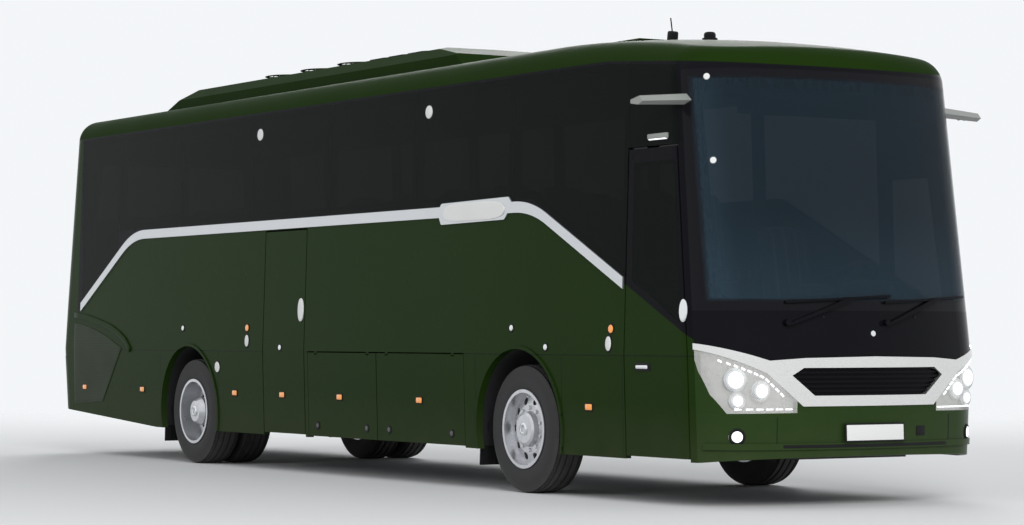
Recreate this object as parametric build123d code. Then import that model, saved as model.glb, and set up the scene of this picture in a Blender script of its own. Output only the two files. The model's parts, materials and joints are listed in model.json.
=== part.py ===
from build123d import *
from math import acos, asin, atan2, cos, degrees, pi, radians, sin, sqrt, tan
import os

os.makedirs("parts", exist_ok=True)

# Two-axle high-floor touring coach, in millimetres. It faces -Y, its doors are on the -X side,
# the driver sits on the +X side, the ground is Z = 0 and the origin is under the middle.

# Overall
LENGTH = 12295.0
FRONT_OVERHANG = 2870.0
WHEELBASE = 6080.0
SKIRT_Z = 330.0
CROWN_Z = 3560.0
CROWN_RADIUS = 9000.0
ROOF_EDGE_RADIUS = 220.0
NOSE_FORM_TOP = 1600.0
BROW_START = 2600.0  # where the roof starts to drop towards the windscreen
BROW_RADIUS = 12000.0

# Body outline at three heights
SILL_HALF = 1255.0
WAIST_HALF = 1275.0
WAIST_Z = 1100.0
TOP_HALF = 1192.0
TOP_Z = 3750.0
FRONT_RAKE = 325.0  # setback of the nose at TOP_Z
REAR_RAKE = 250.0
FRONT_TUCK = 30.0  # setback of the nose at SKIRT_Z
REAR_TUCK = 60.0
NOSE_BOW = 3200.0
NOSE_CORNER = 500.0
TAIL_BOW = 16000.0
TAIL_CORNER = 300.0
TAIL_RISE = 150.0  # the skirt climbs by this much behind the rear wheels
NOSE_RISE = 50.0

# Thicknesses and gaps
SKIN = 50.0
GLASS = 10.0
TRIM = 12.0
GAP = 14.0  # around doors, flaps and lids
SEAM = 6.0  # between window panes
PANEL_SEAM = 3.0
FRAME_SEAM_BACK = 20.0  # from a pane joint to the seam in the frame behind it
SCRAP = 20000.0  # a smaller offcut isn't kept, in cubic millimetres
RUNNING = 0.3  # clearance of a resting face
FIT = 0.05  # radial clearance of a pin, shaft or pivot
SPAN = 1800.0  # half length of every cutting prism across the coach

# Side lines, as distance behind the nose
PILLAR = 480.0
TAIL_SPLIT = 11800.0
BELT_Z = 2255.0
BELT_HEIGHT = 88.0
BELT_CORNER = 1100.0
BELT_FRONT = 2700.0
BELT_REAR = 10330.0
LINE_FOOT_Z = 1205.0  # the slanting glass line where it meets the front pillar
LINE_TAIL = 11620.0
LINE_TAIL_Z = 1535.0
QUARTER_CORNER = 160.0  # of the raised panel ahead of each tail lamp
QUARTER = [(11790, 1395), (10760, 1330), (10420, 1170), (10880, 470), (11000, 300), (11790, 300)]
RADIATOR = (11020.0, 11620.0)
RADIATOR_Z = (720.0, 1140.0)
RADIATOR_SLATS = 12
RADIATOR_SLAT = 15.0
GUTTER_Z = 3310.0
GUTTER_NOSE_Z = 3180.0
GUTTER_BEND = 1700.0
PANE_JOINTS = (3010.0, 4560.0, 6110.0, 7660.0, 9210.0, 10700.0)
PANE_END = 11700.0
PANE_MARGIN = 62.0  # from a pane's edge to the opening behind it
PANE_TOP_GAP = 20.0
PANE_FOOT_GAP = 12.0
PANE_FRONT_GAP = 30.0
CAB_PANE_START = 590.0
CAB_PANE_LIFT = 70.0
BADGE_LENGTH = 1180.0
BADGE_HEIGHT = 205.0
BADGE_START = 2980.0

# Nose, in front view
BUMPER_TOP = 722.0
SCREEN_Z = 1420.0
SCREEN_TOP = 3170.0
SCREEN_FRAME = 85.0
SCREEN_HALF = 1130.0
SCREEN_HEAD = 60.0
SCREEN_CORNER = 70.0
GRILLE_Z = 810.0
GRILLE_TOP = 1010.0
GRILLE_TIP_Z = 955.0
GRILLE_HALF = 690.0
GRILLE_FOOT = 510.0
GRILLE_SHOULDER = 600.0
GRILLE_RECESS = 36.0
SLATS = 5
SLAT_HEIGHT = 14.0
SLAT_INSET = 14.0
SURROUND_TOP = 1090.0
SURROUND_PROUD = 10.0
WING_X = 860.0  # where the surround's bright wings leave it
WING_Z = 972.0
BROW_TIP = 1262.0  # how far out the wing over the lamp runs
BROW_TIP_Z = 1165.0
LAMP_OUTLINE = [
    (640, 688), (640, 800), (900, 1080), (BROW_TIP, 1180),
    (BROW_TIP, 1110), (1244, 985), (1200, 820), (1120, 684),
]
FOG_X = 1060.0
FOG_Z = 520.0
FOG_RADIUS = 48.0
LIP_Z = 470.0
LIP_PROUD = 16.0
LIP_HEIGHT = 45.0
PLATE_PAD = (540.0, 125.0)
BLADE_Z = 1490.0
SPINDLE_Z = 1335.0
WIPER_BLADE = 26.0
BLADE_WIDE = 18.0
BLADE_CLIMB = 48.0  # of the blade's tip over its root
WIPER_REACH = 520.0  # from the spindle to where the arm meets the blade
SPINDLE_R = 22.0
WIPERS = ((-720.0, 180.0), (120.0, 1010.0))  # spindle and blade tip

# Wheels
WHEEL_R = 505.0
TYRE_WIDTH = 295.0
RIM_R = 300.0
BEAD_R = 286.0
NUT_R = 17.0
NUT_HEIGHT = 22.0
STUB_END = 122.0  # end of the stub axle, outward from the wheel's middle
WHEEL_X = 1070.0
TWIN_SPACING = 335.0
HUB_R = 140.0
STUB_R = 45.0
STUDS_PCD = 335.0
HAND_HOLES = 10
HAND_HOLE_R = 29.0
HAND_HOLE_PCD = 452.0
ARCH_R = 630.0
ARCH_LIP = 28.0
KINGPIN_X = 930.0
KINGPIN_R = 24.0

# Doors: station of each edge behind the nose, heights
FRONT_DOOR = (555.0, 1350.0)
FRONT_DOOR_Z = (352.0, 2620.0)
DOOR_GLASS_TOP = 2520.0
DOOR_GLASS_MARGIN = 70.0
DOOR_GLASS_CORNER = 30.0
DOOR_GLASS_LAP = 28.0
MID_DOOR = (6520.0, 7330.0)
MID_DOOR_Z = (352.0, 2190.0)
COLUMN_R = 20.0
COLUMN_INBOARD = 130.0  # from the outer skin to the swing column
COLUMN_BACK = 200.0  # from the edge the leaf swings to, back to the column
SWING_ARM = 430.0  # column to leaf pivot
ARM_ELBOW = (175.0, 105.0)  # inboard and rearward of the column, closed
ARM_SECTION = 30.0
ARM_KNUCKLE_R = 18.6
EAR_R = 22.0
EAR_THICK = 10.0
EAR_LEVEL = 25.0  # from the arm's middle to each ear's
CARRIER_HALF = 40.0  # of the block that holds a column's top
ARM_LOW = 400.0  # the lower arm over the leaf's foot
ARM_HIGH = 62.0  # the upper arm under the leaf's top
COLUMN_TOP = 56.0  # the column's end over the leaf's top
LEAF_PIN_R = 8.0
LEAF_STANDOFF = 15.0  # of the leaf's pivot, inboard of the column
LEAF_CLEARANCE = 20.0  # between a leaf and the steps

# Luggage flaps: side (-1 door side, 1 driver side), start, end
FLAPS = {
    "luggage_flap_right_front": (-1, 3700.0, 5165.0),
    "luggage_flap_right_rear": (-1, 5179.0, 6440.0),
    "luggage_flap_left_front": (1, 3700.0, 5180.0),
    "luggage_flap_left_middle": (1, 5194.0, 6670.0),
    "luggage_flap_left_rear": (1, 6684.0, 8150.0),
}
FLAP_Z = (345.0, 1085.0)
HINGE_R = 5.0
HINGE_INSET = 9.0
EYE_R = 9.0
EYE_LENGTH = 44.0
EYE_SHARES = (0.12, 0.88)

# Rear lid
LID_HALF = 930.0
LID_Z = (640.0, 1640.0)
LID_GAP = 22.0
LID_HINGE_HALF = 520.0
LID_HINGE_INSET = 17.0
LOUVRE_HALF = 620.0
LOUVRE_Z = (705.0, 1035.0)
LOUVRES = 9
LOUVRE_HEIGHT = 15.0
LOUVRE_DEPTH = 30.0
LOUVRE_FALL = 70.0  # how far a louvre's inner edge would drop over its run
LOUVRE_RUN = 200.0
REAR_GLASS_HALF = 960.0
REAR_GLASS_TAPER = 60.0
REAR_GLASS_Z = (2330.0, 3130.0)
TAIL_LAMP_X = 1085.0
TAIL_LAMP_Z = (1020.0, 1480.0)
TAIL_LAMP_REACH = 270.0

# Roof
AIR_UNIT = (4400.0, 10450.0)
AIR_UNIT_HALF = 860.0
AIR_UNIT_TOP = 3770.0
AIR_NOSE = 900.0
AIR_TAIL = 850.0
AIR_STEP = (140.0, 75.0)  # the low lip at the front of the unit: length, height
AIR_FOOT = 60.0  # how far the unit's ends reach into the crown's line
FAN_STATIONS = (7100.0, 7850.0, 8600.0)
FAN_X = 340.0
FAN_R = 215.0
FAN_WELL = 40.0
FAN_HUB = 55.0
FAN_BLADES = 5
FAN_BLADE = (150.0, 62.0, 5.0)
FAN_PITCH = 24.0
HATCHES = {"roof_hatch_front": 2620.0, "roof_hatch_rear": 10720.0}
HATCH_LENGTH = 760.0
HATCH_WIDTH = 560.0
HATCH_THICK = 38.0
CURB = 45.0
CURB_TOP = 3584.0
HATCH_HINGE_Z = 20.0
HATCH_HINGE_BACK = 18.0  # from the lid's front edge to its pivot

# Floors and frame
FLOOR_Z = 1360.0
FLOOR_THICK = 60.0
CAB_Z = 1000.0
CAB_EDGE = -400.0
CAB_END = 2200.0
CAB_AHEAD = 60.0  # how far the cab floor reaches ahead of the front door
STEP_Z = 455.0
STEP_PLATE = 25.0
PLATE = 40.0
WELL_EDGE = 500.0  # how near the middle the stairwell of the second door reaches
WELL_MARGIN = 30.0
HOLD = (3600.0, 8135.0)
HOLD_FLOOR_Z = 460.0
HOLD_PLATE = 30.0
HOLD_HALF = 1185.0
HOUSING_INNER = (522.0, 575.0)
HOUSING_FOOT = 350.0
LINER = 15.0
AXLE_SLOT = 140.0
RAIL_X = 460.0
RAIL_W = 80.0
RAIL_START = 260.0
RAIL_END = 11940.0
FRONT_RAIL_Z = (345.0, 430.0)
REAR_RAIL_Z = (790.0, 910.0)
REAR_POST = 8140.0
REAR_CROSSES = (9760.0, 11860.0)
CROSS_TUBES = (3640.0, 4760.0, 5880.0, 7000.0, 8140.0)
CROSS_HALF = 1180.0
TUBE = 60.0
JACK_PAD = 140.0
JACK_X = 1040.0
JACK_Z = 348.0
ENGINE = (10150.0, 11450.0)
ENGINE_HALF = 400.0
ENGINE_Z = (480.0, 1230.0)
TOW_STATION = 12150.0
TOW_Z = 430.0
TOW_HALF = 45.0
TOW_RADIUS = 18.0
TOW_EAR = 22.0
TOW_EAR_GAP = 44.0

# Axles
BEAM_HALF = 45.0
BEAM_HEIGHT = 95.0
BOSS_R = 55.0
BOSS_HALF = 75.0
EAR_IN = 80.3
EAR_OUT = 108.0
FORK_REACH = 92.0
FORK_WALL = 26.0
AXLE_R = 78.0
AXLE_HALF = 560.0
DRIVE_R = 200.0
DRIVE_HALF = 170.0
PROP_R = 45.0
PROP_RISE = 120.0
AXLE_SEAT = 60.0  # half length of the block under each rail

# Seats
ROW_FIRST = 2950.0
ROW_PITCH = 820.0
ROWS = 11
SEAT_WIDTH = 455.0
SEAT_GAP = 14.0
AISLE_HALF = 215.0
SEAT_BASE = 320.0  # floor to the underside of a cushion
LEG_INSET = 60.0
DRIVER_WIDTH = 520.0
DRIVER_BASE = 330.0
PEDESTAL_HALF = 170.0
WHEEL_TILT_DEG = 28.0
HELM = (620.0, 1080.0, 1690.0)  # steering wheel centre: x, station, height
HELM_R = 225.0
HELM_RIM_R = 16.0
HELM_DROP = 190.0
HELM_SHAFT_R = 16.0
HELM_SPOKE = (34.0, 14.0)
HELM_HUB_R = 60.0
COLUMN_TUBE_R = 40.0
DASH_END = 980.0
DASH_Z = 1500.0
DRIVER_STATION = 1380.0

# Side cameras in place of mirrors
CAMERA_Z = 2955.0
CAMERA_STATION = 620.0
CAMERA_REACH = 1585.0
CAMERA_CHORD = 190.0
CAMERA_THICK = 80.0
CAMERA_ROOT = 1150.0
CAMERA_TAPER = 0.8
CAMERA_SWEEP = 15.0
CAMERA_DROOP = 25.0

AXLE_STATIONS = (FRONT_OVERHANG, FRONT_OVERHANG + WHEELBASE)


def at(station):
    """Y of a place this far behind the nose."""
    return station - LENGTH / 2


def wall_x(z):
    """Half width of the outer skin at a height, along the straight part of the side."""
    if z < WAIST_Z:
        return SILL_HALF + (WAIST_HALF - SILL_HALF) * (z - SKIRT_Z) / (WAIST_Z - SKIRT_Z)
    return WAIST_HALF - (WAIST_HALF - TOP_HALF) * (z - WAIST_Z) / (TOP_Z - WAIST_Z)


def setback(z, tuck, rake):
    """How far an end of the body stands back at a height."""
    if z < WAIST_Z:
        return tuck * (WAIST_Z - z) / (WAIST_Z - SKIRT_Z)
    return rake * (z - WAIST_Z) / (TOP_Z - WAIST_Z)


def tail_y(x, z):
    return LENGTH / 2 - setback(z, REAR_TUCK, REAR_RAKE) - TAIL_BOW + sqrt(TAIL_BOW**2 - x**2)


def one(shape):
    """The solids of a result as one shape."""
    solids = shape.solids()
    return solids[0] if len(solids) == 1 else Compound(children=list(solids))


def largest(shape):
    return max(shape.solids(), key=lambda solid: solid.volume)


def face_of(points, radius=0.0):
    """A flat face with these corners, rounded where a radius is given."""
    if radius:
        return Face(Wire(FilletPolyline(*points, radius=radius, close=True).edges()))
    return Face(Wire.make_polygon(points, close=True))


def side_prism(points, radius=0.0, side=0):
    """A prism across the coach from (station, z) corners: both sides, or one."""
    start = 0.0 if side > 0 else -SPAN
    reach = 2 * SPAN if side == 0 else SPAN
    outline = face_of([(start, at(station), z) for station, z in points], radius)
    return Solid.extrude(outline, Vector(reach, 0, 0))


def end_prism(points, front=True, radius=0.0):
    """A prism along the coach from (x, z) corners, over its front half, rear half (False) or all (None)."""
    start = 0.0 if front is False else -LENGTH / 2 - 500
    reach = LENGTH + 1000 if front is None else LENGTH / 2 + 500
    outline = face_of([(x, start, z) for x, z in points], radius)
    return Solid.extrude(outline, Vector(0, reach, 0))


def mirrored(half_outline):
    """Corners down one half of an outline, and back up the other half."""
    return half_outline + [(-x, z) for x, z in reversed(half_outline) if x]


def block(x, stations, z):
    """A box from pairs of x, stations and heights."""
    size = (x[1] - x[0], stations[1] - stations[0], z[1] - z[0])
    middle = (sum(x) / 2, (at(stations[0]) + at(stations[1])) / 2, sum(z) / 2)
    return Pos(*middle) * Box(*size)


def rod(start, end, radius):
    """A round bar between two points."""
    line = Vector(*end) - Vector(*start)
    return Solid.make_cylinder(radius, line.length, Plane(origin=start, z_dir=line))


def disc(x, station, z, radius, width):
    """A cylinder across the coach, centred at x."""
    return rod((x - width / 2, at(station), z), (x + width / 2, at(station), z), radius)


def turned(profile, x, station, z, side=1):
    """A solid turned about an axle: (outward, radius) corners, outward from x on that side."""
    y = at(station)
    corners = [(x + side * out, y, z + radius) for out, radius in profile]
    return Solid.revolve(face_of(corners), 360, Axis((x, y, z), (1, 0, 0)))


def hinge(start, end, toward, reach):
    """A hinge rod, the eyes round it on their straps towards the carrier, and the notches they turn in."""
    start, end, toward = Vector(*start), Vector(*end), Vector(*toward)
    along = (end - start).normalized()
    shaft = rod(tuple(start), tuple(end), HINGE_R)
    eyes = []
    notches = []
    for share in EYE_SHARES:
        middle = start + (end - start) * share
        first, last = middle - along * EYE_LENGTH / 2, middle + along * EYE_LENGTH / 2
        strap = Plane(origin=tuple(middle), x_dir=tuple(along), z_dir=tuple(toward))
        eye = rod(tuple(first), tuple(last), EYE_R)
        eye = eye + strap * Pos(0, 0, (reach + 4) / 2) * Box(EYE_LENGTH, 2 * EYE_R, reach + 4)
        eye = eye - rod(tuple(first - along * 5), tuple(last + along * 5), HINGE_R + FIT)
        eyes.append(eye)
        notches.append(rod(tuple(first - along * 6), tuple(last + along * 6), EYE_R + 8))
    return shaft, eyes[0] + eyes[1], notches[0] + notches[1]


def bush(foot, height):
    """A ring that a door's column stands in."""
    x, y, z = foot
    ring = rod((x, y, z - 5), (x, y, z + height), COLUMN_R + 14)
    return ring - rod((x, y, z), (x, y, z + height + 5), COLUMN_R + FIT)


def end_arcs(half, y_end, bow, corner, end):
    """Where the bow of one end meets its corner arc, that arc's middle, and where it meets the side."""
    across = half - corner
    bow_y = y_end - end * bow
    along = sqrt((bow - corner) ** 2 - across**2)
    corner_y = bow_y + end * along
    share = bow / (bow - corner)
    meet = (across * share, bow_y + end * along * share)
    turn = atan2(meet[1] - corner_y, meet[0] - across) / 2
    middle = (across + corner * cos(turn), corner_y + corner * sin(turn))
    return meet, middle, (half, corner_y)


def plan_outline(z, half, front, rear, inset):
    """The body's outline at one height."""
    half -= inset
    y_front = -LENGTH / 2 + front + inset
    y_rear = LENGTH / 2 - rear - inset
    nose = end_arcs(half, y_front, NOSE_BOW - inset, NOSE_CORNER - inset, -1)
    tail = end_arcs(half, y_rear, TAIL_BOW - inset, TAIL_CORNER - inset, 1)
    right = [(x, y, z) for x, y in (*nose, *reversed(tail))]
    left = [(-x, y, z) for x, y, z in right]
    return Wire(
        [
            ThreePointArc(left[0], (0, y_front, z), right[0]),
            ThreePointArc(*right[0:3]),
            Line(right[2], right[3]),
            ThreePointArc(*right[3:6]),
            ThreePointArc(right[5], (0, y_rear, z), left[5]),
            ThreePointArc(left[5], left[4], left[3]),
            Line(left[3], left[2]),
            ThreePointArc(left[2], left[1], left[0]),
        ]
    )


def roof_limit(inset):
    """Everything under the roof's crown: straight behind, and turned down over the brow."""
    top = CROWN_Z - inset
    radius = CROWN_RADIUS - inset
    y = at(BROW_START)
    edge_z = top - radius + sqrt(radius**2 - SPAN**2)
    section = Face(
        Wire(
            [
                ThreePointArc((-SPAN, y, edge_z), (0, y, top), (SPAN, y, edge_z)),
                Line((SPAN, y, edge_z), (SPAN, y, 0)),
                Line((SPAN, y, 0), (-SPAN, y, 0)),
                Line((-SPAN, y, 0), (-SPAN, y, edge_z)),
            ]
        )
    )
    brow_axis = Axis((0, y, top - BROW_RADIUS), (-1, 0, 0))
    back = Solid.extrude(section, Vector(0, LENGTH, 0))
    return back + Solid.revolve(section, -16, brow_axis)


def sides_form(inset):
    """The body's sides from the skirt to above the roof, drawn in by an inset."""
    levels = [
        (SKIRT_Z, SILL_HALF, FRONT_TUCK, REAR_TUCK),
        (WAIST_Z, WAIST_HALF, 0.0, 0.0),
        (TOP_Z, TOP_HALF, FRONT_RAKE, REAR_RAKE),
    ]
    rings = [plan_outline(*level, inset) for level in levels]
    lower = Solid.make_loft(rings[0:2], ruled=True)
    upper = Solid.make_loft(rings[1:3], ruled=True)
    return lower + upper


def nose_rise():
    """What the skirt's rise takes off under the nose."""
    return side_prism([(-50, 0), (-50, SKIRT_Z + NOSE_RISE), (PILLAR, SKIRT_Z), (PILLAR, 0)])


def hull(inset):
    """The body's outer form, or that form drawn in by an inset."""
    body = sides_form(inset) & roof_limit(inset)
    rim = [
        edge
        for edge in body.edges()
        if edge.bounding_box().min.Z > GUTTER_NOSE_Z - 100
        and (abs(edge.center().X) > 1 or abs(edge.center().Y) > LENGTH / 2 - 600)
    ]
    body = body.fillet(ROOF_EDGE_RADIUS - inset, rim)
    rear_corner = AXLE_STATIONS[1] + ARCH_R + 150
    tail_wedge = side_prism(
        [(rear_corner, 0), (rear_corner, SKIRT_Z), (LENGTH + 50, SKIRT_Z + TAIL_RISE), (LENGTH + 50, 0)]
    )
    return one(body - tail_wedge - nose_rise())


def nose_form(inset):
    """The nose below the windscreen's top, cut off behind the front pillar."""
    limit = block((-SPAN, SPAN), (-200, PILLAR + 100), (0, NOSE_FORM_TOP))
    return one((sides_form(inset) & limit) - nose_rise())


OUTER = hull(0.0)
PROUD = hull(-TRIM)
BEHIND_GLASS = hull(GLASS)
INNER = hull(SKIN)
SKIN_SHELL = one(OUTER - INNER)
GLASS_SHELL = one(OUTER - BEHIND_GLASS)
LOUVRE_BACK = hull(LOUVRE_DEPTH)
STEP_LIMIT = hull(SKIN + LEAF_CLEARANCE)
TRIM_SHELL = one(PROUD - OUTER)
NODES = {}


def keep(name, *shapes):
    NODES[name] = [solid for shape in shapes for solid in shape.solids()]


def lean(z):
    """How far the front pillar stands behind PILLAR at a height."""
    return setback(z, 0.0, FRONT_RAKE)


def rectangle(stations, z, grow=0.0, leaning=False):
    """(station, z) corners of a pane, leaf or flap, its front edge following the pillar where it leans."""
    back = lean(z[1]) if leaning else 0.0
    corners = [(stations[0] - grow, z[0] - grow)]
    if leaning:
        corners.append((stations[0] - grow, WAIST_Z))
    corners.append((stations[0] - grow + back, z[1] + grow))
    return corners + [(stations[1] + grow, z[1] + grow), (stations[1] + grow, z[0] - grow)]


def gutter_z(station):
    share = max(0.0, 1 - station / GUTTER_BEND)
    return GUTTER_Z - (GUTTER_Z - GUTTER_NOSE_Z) * share


def line_z(station):
    """Height of the slanting glass line over the front door."""
    return LINE_FOOT_Z + (BELT_Z - LINE_FOOT_Z) * (station - PILLAR) / (BELT_FRONT - PILLAR)


PILLAR_LINE = [(PILLAR, 0), (PILLAR, WAIST_Z), (PILLAR + lean(TOP_Z), TOP_Z)]


def side_zone(side):
    """Where the side wall is: between the front pillar and the tail, under the roof."""
    return side_prism(PILLAR_LINE + [(TAIL_SPLIT, TOP_Z), (TAIL_SPLIT, 0)], side=side)


ROOF_TOP = TOP_Z + 250
ROOF_ZONE = side_prism(
    [
        (-100, GUTTER_NOSE_Z),
        (0, GUTTER_NOSE_Z),
        (GUTTER_BEND, GUTTER_Z),
        (LENGTH + 100, GUTTER_Z),
        (LENGTH + 100, ROOF_TOP),
        (-100, ROOF_TOP),
    ]
)
NOSE_ZONE = side_prism([(-100, 0), (-100, TOP_Z)] + PILLAR_LINE[::-1])
TAIL_ZONE = side_prism([(TAIL_SPLIT, 0), (TAIL_SPLIT, TOP_Z), (LENGTH + 100, TOP_Z), (LENGTH + 100, 0)])


# Side glazing
def pane_outlines(side):
    """(station, z) corners of each pane on one side, from front to rear."""
    top = GUTTER_Z - PANE_TOP_GAP
    half_seam = SEAM / 2
    lift = BELT_HEIGHT / 2 + PANE_FOOT_GAP
    foot = FRONT_DOOR[1] + GAP
    header = FRONT_DOOR_Z[1] + GAP
    front = PILLAR + PANE_FRONT_GAP
    first_joint = PANE_JOINTS[0] - half_seam
    panes = [
        [
            (front + lean(header), header),
            (front + lean(top), gutter_z(PILLAR + lean(top)) - PANE_TOP_GAP),
            (foot - SEAM, gutter_z(foot) - PANE_TOP_GAP),
            (foot - SEAM, header),
        ],
        [
            (foot, line_z(foot) + lift),
            (foot, gutter_z(foot) - PANE_TOP_GAP),
            (GUTTER_BEND, top),
            (first_joint, top),
            (first_joint, BELT_Z + lift),
            (BELT_FRONT, BELT_Z + lift),
        ],
    ]
    for start, end in zip(PANE_JOINTS, PANE_JOINTS[1:]):
        panes.append(rectangle((start + half_seam, end - half_seam), (BELT_Z + lift, top)))
    start = PANE_JOINTS[-1] + half_seam
    slope = (BELT_Z - LINE_TAIL_Z) / (LINE_TAIL - BELT_REAR)
    low = BELT_Z + lift - slope * (start - BELT_REAR)
    tail_low = LINE_TAIL_Z + lift + slope * (LINE_TAIL - PANE_END + 90)
    panes.append([(start, low), (start, top), (PANE_END, top), (PANE_END - 90, tail_low)])
    if side > 0:
        end = FRONT_DOOR[1]
        start = CAB_PANE_START
        cab_pane = [(start, line_z(start) + CAB_PANE_LIFT), (start + lean(DOOR_GLASS_TOP), DOOR_GLASS_TOP)]
        panes.append(cab_pane + [(end, DOOR_GLASS_TOP), (end, line_z(end) + CAB_PANE_LIFT)])
    return panes


def opening_behind(outline, side):
    """The opening in the frame behind a pane, drawn in from the pane's edge."""
    face = face_of([(0, at(station), z) for station, z in outline])
    return Solid.extrude(offset(face, -PANE_MARGIN).faces()[0], Vector(side * SPAN, 0, 0))


def half_space(side):
    return block((0, SPAN) if side > 0 else (-SPAN, 0), (-500, LENGTH + 500), (-100, 4200))


panes = []
walls = {}
side_skins = {}
for side in (-1, 1):
    zone = one(side_zone(side) - ROOF_ZONE)
    wall = one(SKIN_SHELL & zone)
    side_skins[side] = wall
    glass_wall = one(GLASS_SHELL & zone)
    trim_wall = one(TRIM_SHELL & zone)
    for number, outline in enumerate(pane_outlines(side)):
        pane = one(glass_wall & side_prism(outline, side=side))
        panes.append(pane)
        wall = wall - pane
        if number:
            wall = wall - opening_behind(outline, side)
    for station in AXLE_STATIONS:
        arch = disc(side * SPAN / 2, station, WHEEL_R, ARCH_R, SPAN)
        lip = disc(side * SPAN / 2, station, WHEEL_R, ARCH_R + ARCH_LIP, SPAN)
        wall = wall - arch + ((trim_wall & lip) - arch)
    walls[side] = wall
keep("side_windows", *panes)


# Doors
def door_column(stations, way):
    """X and station of a door's swing column: way 1 swings forwards, -1 rearwards."""
    edge = stations[0] if way > 0 else stations[1]
    return -(wall_x(STEP_Z) - COLUMN_INBOARD), edge + way * COLUMN_BACK


def arm_levels(z):
    return z[0] + ARM_LOW, z[1] - ARM_HIGH


def arm_set(stations, z, way):
    """The turning column of a swing-out door, with an elbowed arm near each end."""
    x, station = door_column(stations, way)
    solid = rod((x, at(station), STEP_Z + RUNNING), (x, at(station), z[1] + COLUMN_TOP), COLUMN_R)
    for height in arm_levels(z):
        elbow = (x + ARM_ELBOW[0], station + way * ARM_ELBOW[1])
        corners = [(x, station), elbow, (x + LEAF_STANDOFF, station + way * SWING_ARM)]
        for start, end in zip(corners, corners[1:]):
            a = Vector(start[0], at(start[1]), height)
            b = Vector(end[0], at(end[1]), height)
            flat = Plane(origin=tuple((a + b) / 2), x_dir=tuple(b - a), z_dir=(0, 0, 1))
            solid = solid + flat * Box((b - a).length, ARM_SECTION, ARM_SECTION)
        for x_knuckle, station_knuckle in corners[1:]:
            knuckle = (x_knuckle, at(station_knuckle))
            half = ARM_SECTION / 2
            solid = solid + rod((*knuckle, height - half), (*knuckle, height + half), ARM_KNUCKLE_R)
        pin_x, pin_y = corners[2][0], at(corners[2][1])
        solid = solid - rod((pin_x, pin_y, height - 60), (pin_x, pin_y, height + 60), LEAF_PIN_R + FIT)
    return solid


def leaf_brackets(stations, z, way):
    """The ears and pins on the inside of a leaf that the arms turn on."""
    x, station = door_column(stations, way)
    x, station = x + LEAF_STANDOFF, station + way * SWING_ARM
    y = at(station)
    half = EAR_THICK / 2
    brackets = []
    for height in arm_levels(z):
        bracket = rod((x, y, height - EAR_LEVEL - half), (x, y, height + EAR_LEVEL + half), LEAF_PIN_R)
        for level in (height - EAR_LEVEL, height + EAR_LEVEL):
            ear = block((-SPAN, x), (station - EAR_R, station + EAR_R), (level - half, level + half))
            bracket = bracket + (ear & BEHIND_GLASS) + rod((x, y, level - half), (x, y, level + half), EAR_R)
        brackets.append(bracket)
    return brackets


for stations, z, name, way in ((FRONT_DOOR, FRONT_DOOR_Z, "front", 1), (MID_DOOR, MID_DOOR_Z, "middle", -1)):
    leaning = name == "front"
    hole = rectangle(stations, (z[0] - 100, z[1]), GAP, leaning)
    walls[-1] = walls[-1] - side_prism(hole, side=-1)
    leaf = one(side_skins[-1] & side_prism(rectangle(stations, z, 0.0, leaning), side=-1))
    if name == "front":
        margin = DOOR_GLASS_MARGIN
        front_edge = stations[0] + PANE_FRONT_GAP
        foot_z = line_z(stations[0]) + margin
        outline = [
            (front_edge + lean(foot_z), foot_z),
            (front_edge + lean(DOOR_GLASS_TOP), DOOR_GLASS_TOP),
            (stations[1] - margin, DOOR_GLASS_TOP),
            (stations[1] - margin, line_z(stations[1] - margin) + margin),
        ]
        pane = side_prism(outline, DOOR_GLASS_CORNER, side=-1)
        door_pane = (leaf & pane) - BEHIND_GLASS
        keep("front_door_glass", door_pane)
        leaf = leaf - door_pane
        pane_face = face_of([(0, at(station), height) for station, height in outline])
        smaller = offset(pane_face, -DOOR_GLASS_LAP).faces()[0]
        leaf = leaf - Solid.extrude(smaller, Vector(-SPAN, 0, 0))
    for bracket in leaf_brackets(stations, z, way):
        leaf = leaf + bracket
    keep(name + "_door", leaf)
    keep(name + "_door_arms", arm_set(stations, z, way))
    x, station = door_column(stations, way)
    carrier_z = (z[1] + GAP + 12, z[1] + COLUMN_TOP + 4)
    ends = (station - CARRIER_HALF, station + CARRIER_HALF)
    carrier = block((-SPAN, x + CARRIER_HALF), ends, carrier_z) & BEHIND_GLASS
    column_end = z[1] + COLUMN_TOP + RUNNING
    carrier = carrier - rod((x, at(station), carrier_z[0] - 10), (x, at(station), column_end), COLUMN_R + FIT)
    walls[-1] = walls[-1] + carrier

# Luggage flaps, hung on a rod along their top edge
for name, (side, start, end) in FLAPS.items():
    edges = (start - GAP / 2, end + GAP / 2)
    top = FLAP_Z[1] + GAP
    opening = [(edges[0], 0), (edges[0], top), (edges[1], top), (edges[1], 0)]
    flap = one(side_skins[side] & side_prism(rectangle((start, end), FLAP_Z), side=side))
    hinge_x = side * (wall_x(FLAP_Z[1]) - HINGE_INSET)
    ends = [(hinge_x, at(edge), FLAP_Z[1]) for edge in (start, end)]
    shaft, eyes, notches = hinge(*ends, (0, 0, 1), GAP)
    walls[side] = walls[side] - side_prism(opening, side=side) + eyes
    keep(name, largest(flap - notches + shaft))


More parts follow.
